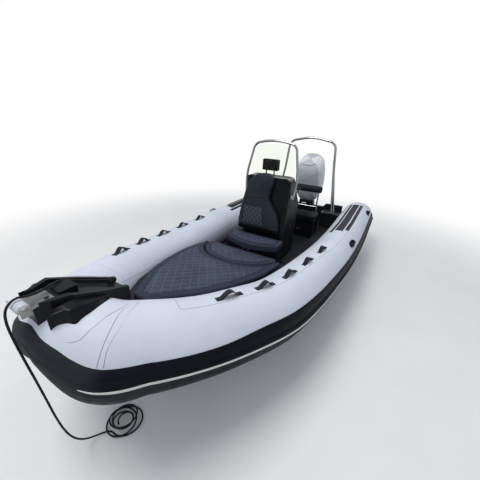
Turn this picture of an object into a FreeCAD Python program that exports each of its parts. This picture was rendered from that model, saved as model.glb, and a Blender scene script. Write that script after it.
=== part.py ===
"""Rigid-hull inflatable boat, parked on low chocks, with its engine tilted up.

Millimetres. +Z up, bow towards -Y, port side at +X, origin on the floor under
the middle of the boat. Sizes are named first, then each group of pieces has
its own function that returns solids by node name.
"""
import math
import os

import FreeCAD
import Part

V = FreeCAD.Vector
X_AXIS = V(1, 0, 0)
Y_AXIS = V(0, 1, 0)
Z_AXIS = V(0, 0, 1)
ORIGIN = V(0, 0, 0)
MIDDLE_Y = 22.0                 # middle of the boat's length, where the file's origin goes
SEAT = 0.3                      # gap between a piece and what it sits on
ALL_ROUND = 4000.0              # reaches past every piece

# Buoyancy collar: centre line of the port tube, stern to stem
COLLAR_COLUMNS = ("y", "x", "z", "radius", "band_top_deg", "band_bulge")
COLLAR = (
    (2430, 1010, 590, 285, 25, 9),
    (900, 1005, 590, 285, 25, 9),
    (0, 965, 606, 285, 25, 9),
    (-600, 905, 634, 285, 26, 9),
    (-1000, 856, 661, 285, 27, 9),
    (-1400, 783, 702, 285, 29, 9),
    (-1750, 666, 769, 283, 28, 10),
    (-2060, 535, 834, 276, 23, 13),
    (-2379, 344, 918, 276, 22, 18),
    (-2545, 220, 972, 277, 24, 22),
    (-2598, 140, 1036, 250, 27, 22),
    (-2629, 62, 1090, 222, 31, 22),
    (-2634, 0, 1108, 208, 35, 22),
)
SIDE_ROW_COUNT = 9              # rows of the side piece; the bow piece starts at its last one
END_CONE_LENGTH = 180
END_CONE_TIP_RADIUS = 92
END_CONE_NUB = 14

# Rubber band glued round the collar's outer side, with its rail and stripe; it bulges towards
# the rail, most of all at the bow, where the rail sinks into a flat front
BAND_EDGE = 5
BAND_SEAT = 0.8
BAND_LOW_DEG = -62
RAIL_PROUD = 24
RAIL_FACE_DEG = 5.5
RAIL_ROOT_DEG = 8.5
STRIPE_PROUD = 3
STRIPE_HALF_DEG = 1.5

# Rigid hull
KEEL_Z = 60
TRANSOM_Y = 2180
HULL_COLUMNS = ("y", "keel_z", "chine_x", "chine_z", "side_x", "side_z", "top_z")
HULL = (
    (TRANSOM_Y, KEEL_Z, 700, 300, 810, 318, 418),
    (1200, KEEL_Z, 700, 300, 808, 318, 418),
    (0, KEEL_Z, 655, 318, 765, 336, 418),
    (-520, 72, 590, 350, 705, 372, 418),
    (-1000, 115, 500, 415, 620, 440, 520),
    (-1400, 195, 390, 495, 505, 525, 620),
    (-1800, 335, 250, 610, 350, 645, 730),
    (-2100, 505, 130, 735, 200, 770, 810),
    (-2280, 650, 60, 820, 100, 850, 880),
)
SOLE_THICKNESS = 12
SOLE_FRONT_Y = -520
HULL_TOP_Z = 418
SOLE_Z = HULL_TOP_Z + SOLE_THICKNESS

# Chocks under the hull
CHOCK_LENGTH = 90
CHOCK_BASE = 14
CHOCK_INNER_X = 150
CHOCK_OUTER_X = 480
CHOCK_Y = (1450, -350)

# Transom and stern lockers
TRANSOM_THICKNESS = 60
TRANSOM_TOP_Z = 745
TRANSOM_WING_Z = 815
TRANSOM_NOTCH_X = 350
TRANSOM_HALF_WIDTH = 735
LOCKER_FRONT_Y = 1790
LOCKER_TOP_Z = 720
LOCKER_INNER_X = 395

# Bow deck and its cushions
DECK_SLOPE = 0.16
DECK_AFT_Y = -560
DECK_FRONT_Y = -2240
DECK_AFT_Z = 700
CUSHION_THICKNESS = 52
CUSHION_GAP = 8
INFILL_AFT_Y = -565
INFILL_FRONT_Y = -1060
INFILL_HALF_WIDTH = 500
BOW_CUSHION_APEX_Y = -2160

# Bow step, plate and roller
STEP_FRONT_Y = -2790
STEP_LENGTH = 505
STEP_AFT_Y = STEP_FRONT_Y + STEP_LENGTH
STEP_HALF_WIDTH = 148
STEP_TOP_Z = 1356
STEP_PROFILE = ((0.0, 0), (0.30, 0), (0.58, 66), (1.0, 166))    # share of the length, drop
STEP_LOW_Z = 1080
STEP_RIM_HEIGHT = 25
STEP_RIM_WIDTH = 30
PLATE_THICKNESS = 6
PLATE_ON_STEP = 105             # how far the plate runs back over the step
PLATE_AFT_Y = STEP_FRONT_Y + PLATE_ON_STEP
PLATE_HALF_WIDTH = 78
PLATE_CLEARANCE = 2
CHEEK_THICKNESS = 8
PAD_HALF_WIDTH = 52
PAD_LENGTH = 100
PAD_GAP = 25                    # from the plate's aft edge
PAD_HEIGHT = 12
ROLLER_RADIUS = 30
ROLLER_LENGTH = 110
ROLLER_REACH = 30               # ahead of the step's front
ROLLER_LIFT = 8                 # over the plate's underside
ROLLER_Y = STEP_FRONT_Y - ROLLER_REACH

# Webbing straps on the tube tops: arc length positions of the strap middles
STRAP_LENGTH = 240
STRAP_WIDTH = 44
STRAP_RISE = 46
STRAP_THICKNESS = 5
STRAP_FOOT = 42
STRAP_FILLET = 12
STRAP_Y = (-310, -745, -1150, -1545, -1900)

# Moulded carrying grips on the outer flanks
GRIP_Y = (390, 2080)
GRIP_DEG = 44
GRIP_LENGTH = 230
GRIP_WIDTH = 84
GRIP_BASE = 8
GRIP_RISE = 56
GRIP_BAR = 26

# Tread strips on the aft tube tops
TREAD_COLUMNS = ("low_deg", "high_deg", "front_y", "aft_y")
TREADS = (
    (111, 119, 470, 2230),
    (86, 107, 560, 2230),
    (72, 82, 650, 2230),
)
TREAD_THICKNESS = 3

# Steering console, with its front seat
CONSOLE_HALF_WIDTH = 330
CONSOLE_BASE_FRONT_Y = -105
CONSOLE_BASE_AFT_Y = 500
CONSOLE_TOP_Z = 1610
CONSOLE_TOP_FRONT_Y = 20
CONSOLE_TOP_AFT_Y = 250
DASH_LOW_Y = 560
DASH_LOW_Z = 1180
CONSOLE_EDGE_RADIUS = 70
SEAT_FRONT_Y = -505
SEAT_HALF_WIDTH = 400
SEAT_BASE_TOP_Z = 735
SEAT_WALL = 14
SEAT_OVERHANG = 20
SEAT_CUSHION_BACK_Y = -158
SEAT_CUSHION_THICKNESS = 88
LID_BOARD_GAP = 0.5
HINGE_RADIUS = 6
HINGE_DROP = 6.5                # pin under the lid's underside
HINGE_HALF_LENGTH = 28
HINGE_SIDE_GAP = 1
# Places (x, z) round the pad's curved edge, from its starboard foot over the top to its port foot
BACKREST_OUTLINE = (
    (-362, 850), (-360, 1030), (-338, 1180), (-290, 1400), (-232, 1560), (-150, 1640),
    (-30, 1668), (80, 1650), (124, 1570), (100, 1440), (94, 1335), (140, 1246),
    (205, 1161), (250, 1073), (272, 970), (280, 850),
)
BACKREST_THICKNESS = 95

# Windscreen hoop
HOOP_TUBE = 16
HOOP_Y = 140
HOOP_RAKE = 8
HOOP_RISE = 456                 # top over the console's top
HOOP_FOOT_DROP = 280            # feet under the console's top
HOOP_CORNER_DROP = 42           # corners under the hoop's top
HOOP_SIDE_GAP = 55              # legs' middle off the console's side
HOOP_HALF_LOW = CONSOLE_HALF_WIDTH + HOOP_SIDE_GAP
HOOP_SHOULDER_DROP = 10         # widest place under the console's top
HOOP_HALF_HIGH = 300
HOOP_LOW_Z = CONSOLE_TOP_Z - HOOP_FOOT_DROP
HOOP_TOP_Z = CONSOLE_TOP_Z + HOOP_RISE
HOOP_CORNER_Z = HOOP_TOP_Z - HOOP_CORNER_DROP
HOOP_SHOULDER_Z = CONSOLE_TOP_Z - HOOP_SHOULDER_DROP
SCREEN_THICKNESS = 6

# Helm: wheel, plotter, throttle
WHEEL_HUB = V(0, 668, 1190)
WHEEL_TILT = 28
WHEEL_RADIUS = 175
WHEEL_RIM = 14
WHEEL_HUB_RADIUS = 42
WHEEL_DISH = 42
HELM_BOSS_RADIUS = 48
HELM_BOSS_LENGTH = 46
SHAFT_RADIUS = 11
SHAFT_CLEARANCE = 0.05
PLOTTER_WIDTH = 235
PLOTTER_HEIGHT = 150
PLOTTER_DEPTH = 58
PLOTTER_X = -45
PLOTTER_FRONT_Y = 182
PLOTTER_Z = 1745
PLOTTER_POST = 9
THROTTLE_X = 235

# Helm seat
HELM_FRONT_Y = 1040
HELM_AFT_Y = 1450
HELM_HALF_WIDTH = 455
HELM_BOX_TOP_Z = 740
HELM_WALL = 14
HELM_CUSHION_THICKNESS = 100
BOLSTER_Y = 1468
BOLSTER_Z = 1225
BOLSTER_RADIUS = 62
BOLSTER_HALF_WIDTH = 430
SEAT_TUBE = 14
SPEAKER_RADIUS = 62

# Roll-bar arch
ARCH_TUBE = 21
ARCH_Y = 1930
ARCH_FOOT_X = 610
ARCH_HALF_HIGH = 452
ARCH_CORNER_Z = 1880
ARCH_TOP_Z = 2070
BRACE_FOOT_Y = 1835
BRACE_HIGH_Z = 1700

# Outboard engine, drawn upright and then tilted about its pivot
PIVOT = V(0, 2150, 800)
REST_TILT = 25
PIVOT_TUBE = 19
CLAMP_HALF_WIDTH = 150
CLAMP_EAR = 22
STEER_OFFSET = 62
SWIVEL_RADIUS = 46
PLATE_Z = -645
PROP_Z = PLATE_Z - 170
SKEG_Z = PLATE_Z - 335
GEARCASE_RADIUS = 54
PROP_Y = 345
PROP_RADIUS = 157
PROP_HUB_RADIUS = 40
PROP_HUB_LENGTH = 105
BLADE_COUNT = 3
LEG_TOP_Z = 66
BLOCK_SIZE = (300, 420, 430)
COVER_COLUMNS = ("z", "front_y", "aft_y", "half_width")
COVER = (
    (75, -75, 420, 205),
    (230, -110, 500, 245),
    (520, -105, 530, 262),
    (760, -70, 500, 238),
    (880, 10, 400, 150),
)

# Mooring line
ROPE_RADIUS = 6
ROPE_ROUTE = (
    (-40, -2330, 1236.3), (-60, -2400, 1264), (-69, -2470, 1298), (-72, -2545, 1340),
    (-62, -2600, 1374), (-40, -2652, 1383), (-16, -2720, 1381), (-4, -2784, 1398), (0, -2822, 1416),
    (2, -2872, 1384), (1, -2888, 1300), (-2, -2886, 1160), (-4, -2880, 1010),
    (-5, -2872, 845), (-2, -2866, 680), (4, -2862, 530), (6, -2852, 392),
    (2, -2832, 270), (-10, -2796, 160), (-22, -2748, 76), (-22, -2692, 24),
    (0, -2640, 8), (36, -2606, 7),
)
KNOT_RADIUS = 22
KNOT_LENGTH = 44
PILE_CENTRE = V(60, -2500, 0)
PILE_RADIUS = 150
PILE_HEIGHT = 60


def vec(x, y, z):
    return V(float(x), float(y), float(z))


def polygon_face(points):
    wire = Part.makePolygon(list(points) + [points[0]])
    return Part.Face(wire)


def prism(points, direction):
    return polygon_face(points).extrude(direction)


def side_prism(profile, half_width, x_mid=0.0):
    """A profile of (y, z) points, run across the boat."""
    points = [vec(x_mid - half_width, y, z) for y, z in profile]
    return prism(points, V(2 * half_width, 0, 0))


def plan_prism(profile, z_low, z_high):
    """A profile of (x, y) points, run upwards."""
    points = [vec(x, y, z_low) for x, y in profile]
    return prism(points, V(0, 0, z_high - z_low))


def box(x0, x1, y0, y1, z0, z1):
    return Part.makeBox(x1 - x0, y1 - y0, z1 - z0, vec(x0, y0, z0))


def rounded(solid, radius, along):
    """Fillet the straight edges that run along one axis."""
    edges = []
    for edge in solid.Edges:
        if edge.Curve.TypeId != "Part::GeomLine":
            continue
        line = edge.Vertexes[1].Point.sub(edge.Vertexes[0].Point)
        if line.Length > 1e-6 and abs(line.normalize().dot(along)) > 0.999:
            edges.append(edge)
    return solid.makeFillet(radius, edges)


def mirrored(shape):
    return shape.mirror(ORIGIN, X_AXIS)


def both_sides(shape):
    return Part.makeCompound([shape, mirrored(shape)])


def fused(shapes):
    return shapes[0].multiFuse(shapes[1:]).removeSplitter()


def bent_tube(points, bends, radius):
    """A round tube along straight runs joined by arcs of the given radii."""
    edges = []
    start = points[0]
    for index in range(1, len(points) - 1):
        corner = points[index]
        before = points[index - 1].sub(corner).normalize()
        after = points[index + 1].sub(corner).normalize()
        half = before.getAngle(after) / 2.0
        run = bends[index - 1] / math.tan(half)
        first = corner.add(before.multiply(run))
        last = corner.add(after.multiply(run))
        middle_way = first.add(last).multiply(0.5).sub(corner)
        reach = bends[index - 1] / math.sin(half) - bends[index - 1]
        middle = corner.add(middle_way.normalize().multiply(reach))
        edges.append(Part.makeLine(start, first))
        edges.append(Part.Arc(first, middle, last).toShape())
        start = last
    edges.append(Part.makeLine(start, points[-1]))
    path = Part.Wire(edges)
    tangent = points[1].sub(points[0])
    ring = Part.Wire([Part.makeCircle(radius, points[0], tangent)])
    return path.makePipeShell([ring], True, False)


# Collar geometry

def collar_frames():
    """Place, outward and upward directions of each collar station."""
    rows = [dict(zip(COLLAR_COLUMNS, row)) for row in COLLAR]
    centres = [vec(row["x"], row["y"], row["z"]) for row in rows]
    frames = []
    for index, row in enumerate(rows):
        if index == 0:
            normal = V(0, -1, 0)
            stretch_axis = None
            stretch = 1.0
        else:
            arriving = centres[index].sub(centres[index - 1]).normalize()
            if index < len(rows) - 1:
                leaving = centres[index + 1].sub(centres[index]).normalize()
            else:
                leaving = V(arriving.x, -arriving.y, -arriving.z)
            normal = arriving.add(leaving).normalize()
            stretch = 1.0 / math.cos(arriving.getAngle(leaving) / 2.0)
            turning = arriving.cross(leaving)
            stretch_axis = normal.cross(turning).normalize() if turning.Length > 1e-6 else None
        out = Z_AXIS.cross(normal).normalize()
        if out.x < 0 or (abs(out.x) < 1e-6 and out.y > 0):
            out = out.multiply(-1)
        up = out.cross(normal)
        if up.z < 0:
            up = up.multiply(-1)
        frames.append({"centre": centres[index], "out": out, "up": up, "row": row,
                       "stretch_axis": stretch_axis, "stretch": stretch})
    return frames


FRAMES = collar_frames()


def ring_point(frame, degrees, radius):
    """Point of the collar's section at an angle above its outer side."""
    angle = math.radians(degrees)
    way = V(frame["out"]).multiply(math.cos(angle)).add(V(frame["up"]).multiply(math.sin(angle)))
    if frame["stretch_axis"] is not None:
        share = way.dot(frame["stretch_axis"]) * (frame["stretch"] - 1.0)
        way = way.add(V(frame["stretch_axis"]).multiply(share))
    return frame["centre"].add(way.multiply(radius))


def ring_arc(frame, low, high, radius):
    middle = (low + high) / 2.0
    points = [ring_point(frame, degrees, radius) for degrees in (low, middle, high)]
    return Part.Arc(*points).toShape()


def ring_arcs(frame, breaks, radius):
    return [ring_arc(frame, low, high, radius) for low, high in zip(breaks, breaks[1:])]


def ring_bulge(frame, first, last):
    """Arc between two places of a section; its middle keeps 0.7 of the thicker end's height."""
    low = min(first[1], last[1])
    high = max(first[1], last[1])
    middle = ((first[0] + last[0]) / 2.0, low + 0.7 * (high - low))
    return Part.Arc(*[ring_point(frame, *place) for place in (first, middle, last)]).toShape()


def ring_line(frame, first, last):
    return Part.makeLine(ring_point(frame, *first), ring_point(frame, *last))


def tube_wire(frame, extra):
    breaks = (-180, -120, -60, 0, 60, 120, 180)
    return Part.Wire(ring_arcs(frame, breaks, frame["row"]["radius"] + extra))


def ruled(wires):
    return Part.makeLoft(wires, True, True)


def tube_side(extra=0.0):
    return ruled([tube_wire(frame, extra) for frame in FRAMES[:SIDE_ROW_COUNT]])


def bow_frames():
    """The bow's stations from the port corner, over the stem, to starboard."""
    port = FRAMES[SIDE_ROW_COUNT - 1:]
    starboard = []
    for frame in reversed(port[:-1]):
        other = dict(frame)
        for key in ("centre", "out", "up", "stretch_axis"):
            other[key] = V(-frame[key].x, frame[key].y, frame[key].z)
        starboard.append(other)
    return port + starboard


def tube_bow(extra=0.0):
    return ruled([tube_wire(frame, extra) for frame in bow_frames()])


def band_wire(frame):
    """Section of the rubber band: a skin with a flat-faced rail at mid height."""
    inner = frame["row"]["radius"] + BAND_SEAT
    edge = inner + BAND_EDGE
    full = inner + frame["row"]["band_bulge"]
    face = inner + RAIL_PROUD
    top = frame["row"]["band_top_deg"]
    edges = [ring_line(frame, (BAND_LOW_DEG, inner), (BAND_LOW_DEG, edge))]
    edges.append(ring_bulge(frame, (BAND_LOW_DEG, edge), (-RAIL_ROOT_DEG, full)))
    edges.append(ring_line(frame, (-RAIL_ROOT_DEG, full), (-RAIL_FACE_DEG, face)))
    edges.append(ring_arc(frame, -RAIL_FACE_DEG, RAIL_FACE_DEG, face))
    edges.append(ring_line(frame, (RAIL_FACE_DEG, face), (RAIL_ROOT_DEG, full)))
    edges.append(ring_bulge(frame, (RAIL_ROOT_DEG, full), (top, edge)))
    edges.append(ring_line(frame, (top, edge), (top, inner)))
    edges += ring_arcs(frame, (top, 0, BAND_LOW_DEG), inner)
    return Part.Wire(edges)


def stripe_wire(frame):
    low = frame["row"]["radius"] + BAND_SEAT + RAIL_PROUD + SEAT
    high = low + STRIPE_PROUD
    edges = [
        ring_arc(frame, -STRIPE_HALF_DEG, STRIPE_HALF_DEG, low),
        ring_line(frame, (STRIPE_HALF_DEG, low), (STRIPE_HALF_DEG, high)),
        ring_arc(frame, STRIPE_HALF_DEG, -STRIPE_HALF_DEG, high),
        ring_line(frame, (-STRIPE_HALF_DEG, high), (-STRIPE_HALF_DEG, low)),
    ]
    return Part.Wire(edges)


def trimmed(shape):
    """A symmetric piece, cut back to just clear of the collar on both sides."""
    half = shape.common(box(0, ALL_ROUND, -ALL_ROUND, ALL_ROUND, -ALL_ROUND, ALL_ROUND)).cut(COLLAR_CLEAR)
    return half.fuse(mirrored(half)).removeSplitter()


def collar_clearance():
    """The port tube grown by the seating gap, run a little past the stem."""
    wires = [tube_wire(frame, SEAT) for frame in FRAMES]
    beyond = wires[-1].copy()
    beyond.translate(V(-40, 0, 0))
    return ruled(wires + [beyond])


def collar_at(y):
    """Centre, radius and directions of the port tube where it crosses a y."""
    for first, last in zip(FRAMES, FRAMES[1:]):
        if last["centre"].y <= y <= first["centre"].y:
            share = (first["centre"].y - y) / (first["centre"].y - last["centre"].y)
            centre = first["centre"].add(last["centre"].sub(first["centre"]).multiply(share))
            along = last["centre"].sub(first["centre"]).normalize()
            out = Z_AXIS.cross(along).normalize()
            if out.x < 0:
                out = out.multiply(-1)
            up = along.cross(out)
            if up.z < 0:
                up = up.multiply(-1)
            radius = first["row"]["radius"] + share * (last["row"]["radius"] - first["row"]["radius"])
            return {"centre": centre, "radius": radius, "along": along, "out": out, "up": up}
    raise ValueError("no collar at y %s" % y)


def on_tube(place, along, degrees, height):
    """Point over the tube, by a run along it, an angle round it and a height."""
    angle = math.radians(degrees)
    way = V(place["out"]).multiply(math.cos(angle)).add(V(place["up"]).multiply(math.sin(angle)))
    start = place["centre"].add(V(place["along"]).multiply(along))
    return start.add(way.multiply(place["radius"] + height))


COLLAR_CLEAR = collar_clearance()


def collar():
    port = tube_side()
    return {"collar_port": port, "collar_starboard": mirrored(port), "collar_bow": tube_bow()}


def end_caps():
    stern = FRAMES[0]
    radius = stern["row"]["radius"]
    y0 = stern["centre"].y + SEAT
    y1 = y0 + END_CONE_LENGTH
    profile = [
        Part.makeLine(vec(0, y0, 0), vec(radius, y0, 0)),
        Part.Arc(vec(radius, y0, 0), vec(radius * 0.80, y0 + END_CONE_LENGTH * 0.62, 0),
                 vec(END_CONE_TIP_RADIUS, y1, 0)).toShape(),
        Part.makeLine(vec(END_CONE_TIP_RADIUS, y1, 0), vec(END_CONE_TIP_RADIUS * 0.8, y1 + END_CONE_NUB, 0)),
        Part.makeLine(vec(END_CONE_TIP_RADIUS * 0.8, y1 + END_CONE_NUB, 0), vec(0, y1 + END_CONE_NUB, 0)),
        Part.makeLine(vec(0, y1 + END_CONE_NUB, 0), vec(0, y0, 0)),
    ]
    cone = Part.Face(Part.Wire(profile)).revolve(ORIGIN, Y_AXIS, 360)
    cone.translate(vec(stern["centre"].x, 0, stern["centre"].z))
    return {"tube_end_caps": both_sides(cone)}


def bands():
    port = ruled([band_wire(frame) for frame in FRAMES[:SIDE_ROW_COUNT]])
    bow = ruled([band_wire(frame) for frame in bow_frames()]).cut(tube_bow(SEAT))
    stripe = ruled([stripe_wire(frame) for frame in FRAMES[:SIDE_ROW_COUNT + 1]])
    return {"rub_band_port": port, "rub_band_starboard": mirrored(port),
            "rub_band_bow": bow, "rail_stripes": both_sides(stripe)}


def strap(y):
    """One webbing loop: two glued feet and a bridge between them."""
    place = collar_at(y)
    half = STRAP_LENGTH / 2.0
    foot = half - STRAP_FOOT
    low = SEAT
    rise = STRAP_RISE
    thick = STRAP_THICKNESS
    inner = foot + thick - STRAP_FILLET

    def at(run, height):
        return on_tube(place, run, 90, height)

    edges = [
        Part.makeLine(at(-half, low), at(-half, low + thick)),
        Part.makeLine(at(-half, low + thick), at(-foot, low + thick)),
        Part.Arc(at(-foot, low + thick), at(0, rise + thick), at(foot, low + thick)).toShape(),
        Part.makeLine(at(foot, low + thick), at(half, low + thick)),
        Part.makeLine(at(half, low + thick), at(half, low)),
        Part.makeLine(at(half, low), at(inner, low)),
        Part.Arc(at(inner, low), at(0, rise), at(-inner, low)).toShape(),
        Part.makeLine(at(-inner, low), at(-half, low)),
    ]
    face = Part.Face(Part.Wire(edges))
    side = V(place["out"])
    face.translate(V(side).multiply(-STRAP_WIDTH / 2.0))
    return face.extrude(V(side).multiply(STRAP_WIDTH))


def straps():
    port = [strap(y).cut(COLLAR_CLEAR) for y in STRAP_Y]
    return {"grab_straps_port": Part.makeCompound(port),
            "grab_straps_starboard": Part.makeCompound([mirrored(one) for one in port])}


def grip(y):
    """Moulded carrying grip: an oval base plate with a bridge bar."""
    place = collar_at(y)
    angle = math.radians(GRIP_DEG)
    out = V(place["out"]).multiply(math.cos(angle)).add(V(place["up"]).multiply(math.sin(angle)))
    along = V(place["along"])
    across = out.cross(along)
    centre = V(place["centre"]).add(V(out).multiply(place["radius"] + SEAT))
    half = GRIP_LENGTH / 2.0

    def at(run, wide, height):
        point = centre.add(V(along).multiply(run)).add(V(across).multiply(wide))
        return point.add(V(out).multiply(height))

    wide = GRIP_WIDTH / 2.0
    flat = half - wide
    outline = Part.Wire([
        Part.makeLine(at(-flat, -wide, 0), at(flat, -wide, 0)),
        Part.Arc(at(flat, -wide, 0), at(half, 0, 0), at(flat, wide, 0)).toShape(),
        Part.makeLine(at(flat, wide, 0), at(-flat, wide, 0)),
        Part.Arc(at(-flat, wide, 0), at(-half, 0, 0), at(-flat, -wide, 0)).toShape(),
    ])
    base = Part.Face(outline).extrude(V(out).multiply(GRIP_BASE))
    bar_half = GRIP_BAR / 2.0
    low = GRIP_BASE - 1
    bar = Part.Face(Part.Wire([
        Part.makeLine(at(-half + 14, -bar_half, low), at(-half + 38, -bar_half, low)),
        Part.Arc(at(-half + 38, -bar_half, low), at(0, -bar_half, GRIP_RISE - 16),
                 at(half - 38, -bar_half, low)).toShape(),
        Part.makeLine(at(half - 38, -bar_half, low), at(half - 14, -bar_half, low)),
        Part.Arc(at(half - 14, -bar_half, low), at(0, -bar_half, GRIP_RISE),
                 at(-half + 14, -bar_half, low)).toShape(),
    ])).extrude(V(across).multiply(GRIP_BAR))
    return base.fuse(bar)


def grips():
    port = [grip(y) for y in GRIP_Y]
    return {"carry_grips": Part.makeCompound(port + [mirrored(one) for one in port])}


def tread_wire(y, low_deg, high_deg):
    place = collar_at(y)
    low = SEAT
    high = SEAT + TREAD_THICKNESS
    middle = (low_deg + high_deg) / 2.0
    return Part.Wire([
        Part.Arc(on_tube(place, 0, low_deg, low), on_tube(place, 0, middle, low),
                 on_tube(place, 0, high_deg, low)).toShape(),
        Part.makeLine(on_tube(place, 0, high_deg, low), on_tube(place, 0, high_deg, high)),
        Part.Arc(on_tube(place, 0, high_deg, high), on_tube(place, 0, middle, high),
                 on_tube(place, 0, low_deg, high)).toShape(),
        Part.makeLine(on_tube(place, 0, low_deg, high), on_tube(place, 0, low_deg, low)),
    ])


def treads():
    solids = []
    bend_y = COLLAR[1][0]
    for row in TREADS:
        tread = dict(zip(TREAD_COLUMNS, row))
        angles = (tread["low_deg"], tread["high_deg"])
        fore = [tread_wire(y, *angles) for y in (tread["front_y"], bend_y)]
        aft = [tread_wire(y, *angles) for y in (bend_y + 1.0, tread["aft_y"])]
        solids.append(ruled([fore[0], fore[1], aft[1]]))
    return {"tread_strips": Part.makeCompound(solids + [mirrored(one) for one in solids])}


# Hull, deck and what stands on them

def hull_wire(row):
    data = dict(zip(HULL_COLUMNS, row))
    half = [(data["chine_x"], data["chine_z"]), (data["side_x"], data["side_z"]),
            (data["side_x"], data["top_z"])]
    outline = [(0, data["keel_z"])] + half + [(-x, z) for x, z in reversed(half)]
    points = [vec(x, data["y"], z) for x, z in outline]
    return Part.makePolygon(points + [points[0]])


def hull():
    body = ruled([hull_wire(row) for row in HULL])
    sole = box(-900, 900, SOLE_FRONT_Y, TRANSOM_Y, HULL_TOP_Z, SOLE_Z)
    return {"hull": trimmed(body), "cockpit_sole": trimmed(sole)}


def hull_bottom(y, x):
    """Height of the hull's bottom at a place between keel and chine."""
    rows = [dict(zip(HULL_COLUMNS, row)) for row in HULL]
    for first, last in zip(rows, rows[1:]):
        if last["y"] <= y <= first["y"]:
            share = (first["y"] - y) / float(first["y"] - last["y"])
            keel, chine_x, chine_z = [first[key] + share * (last[key] - first[key])
                                      for key in ("keel_z", "chine_x", "chine_z")]
            return keel + (chine_z - keel) * x / chine_x
    raise ValueError("no hull at y %s" % y)


def chocks():
    """Low saddles that carry the hull's bottom panels on both sides."""
    sides = []
    for y in CHOCK_Y:
        wires = []
        for end in (y - CHOCK_LENGTH / 2.0, y + CHOCK_LENGTH / 2.0):
            inner = hull_bottom(end, CHOCK_INNER_X) - SEAT
            outer = hull_bottom(end, CHOCK_OUTER_X) - SEAT
            points = [vec(CHOCK_INNER_X, end, 0), vec(CHOCK_OUTER_X + 30, end, 0),
                      vec(CHOCK_OUTER_X, end, outer), vec(CHOCK_INNER_X, end, inner)]
            wires.append(Part.makePolygon(points + [points[0]]))
        sides.append(ruled(wires))
        sides.append(mirrored(sides[-1]))
    bases = [box(-CHOCK_INNER_X, CHOCK_INNER_X, y - CHOCK_LENGTH / 2.0, y + CHOCK_LENGTH / 2.0, 0, CHOCK_BASE)
             for y in CHOCK_Y]
    aft = fused([sides[0], sides[1], bases[0]])
    fore = fused([sides[2], sides[3], bases[1]])
    return {"chocks": Part.makeCompound([aft, fore])}


def deck_z(y):
    return DECK_AFT_Z + (DECK_AFT_Y - y) * DECK_SLOPE


def bow_deck():
    rows = [dict(zip(HULL_COLUMNS, row)) for row in HULL if row[0] <= SOLE_FRONT_Y]
    wires = []
    for row in rows:
        y = max(row["y"], DECK_FRONT_Y)
        if row["y"] == SOLE_FRONT_Y:
            y = DECK_AFT_Y
        top = deck_z(y)
        low = top - 1.0 if y == DECK_FRONT_Y else hull_top(y) + SEAT
        wide = row["side_x"] + 240
        points = [vec(wide, y, min(low, top - 1.0)), vec(wide, y, top),
                  vec(-wide, y, top), vec(-wide, y, min(low, top - 1.0))]
        wires.append(Part.makePolygon(points + [points[0]]))
    return {"bow_deck": trimmed(ruled(wires))}


def hull_top(y):
    rows = [dict(zip(HULL_COLUMNS, row)) for row in HULL]
    for first, last in zip(rows, rows[1:]):
        if last["y"] <= y <= first["y"]:
            share = (first["y"] - y) / float(first["y"] - last["y"])
            return first["top_z"] + share * (last["top_z"] - first["top_z"])
    raise ValueError("no hull at y %s" % y)


def on_deck(x, y, height):
    return vec(x, y, deck_z(y) + height)


def deck_slab(edges):
    """A flat cushion on the sloping deck, from the wire of its outline."""
    return Part.Face(Part.Wire(edges)).extrude(V(0, 0, CUSHION_THICKNESS))


def bow_cushions():
    """The V-shaped cushion and the half-moon infill behind it."""
    low = SEAT

    def at(x, y):
        return on_deck(x, y, low)

    aft = INFILL_AFT_Y
    outer = 560
    tips = [(outer, aft - 60), (545, -1040), (470, -1400), (330, -1790), (80, BOW_CUSHION_APEX_Y)]
    side = [at(x, y) for x, y in tips]
    other = [at(-x, y) for x, y in tips]
    notch = INFILL_HALF_WIDTH + CUSHION_GAP
    edges = [
        Part.makeLine(side[0], side[1]),
        Part.Arc(side[1], side[2], side[3]).toShape(),
        Part.makeLine(side[3], side[4]),
        Part.makeLine(side[4], other[4]),
        Part.makeLine(other[4], other[3]),
        Part.Arc(other[3], other[2], other[1]).toShape(),
        Part.makeLine(other[1], other[0]),
        Part.makeLine(other[0], at(-notch, aft - 60)),
        Part.Arc(at(-notch, aft - 60), at(0, INFILL_FRONT_Y - CUSHION_GAP), at(notch, aft - 60)).toShape(),
        Part.makeLine(at(notch, aft - 60), side[0]),
    ]
    return edges, at


def cushions():
    edges, at = bow_cushions()
    half = INFILL_HALF_WIDTH
    aft = INFILL_AFT_Y
    infill = [
        Part.Arc(at(-half, aft - 60), at(0, INFILL_FRONT_Y), at(half, aft - 60)).toShape(),
        Part.makeLine(at(half, aft - 60), at(half - 30, aft)),
        Part.makeLine(at(half - 30, aft), at(30 - half, aft)),
        Part.makeLine(at(30 - half, aft), at(-half, aft - 60)),
    ]
    return {"bow_cushion": trimmed(deck_slab(edges)), "infill_cushion": deck_slab(infill)}


def step_top():
    """Places (y, z) along the step's tread, front to aft."""
    return [(STEP_FRONT_Y + share * STEP_LENGTH, STEP_TOP_Z - drop) for share, drop in STEP_PROFILE]


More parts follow.
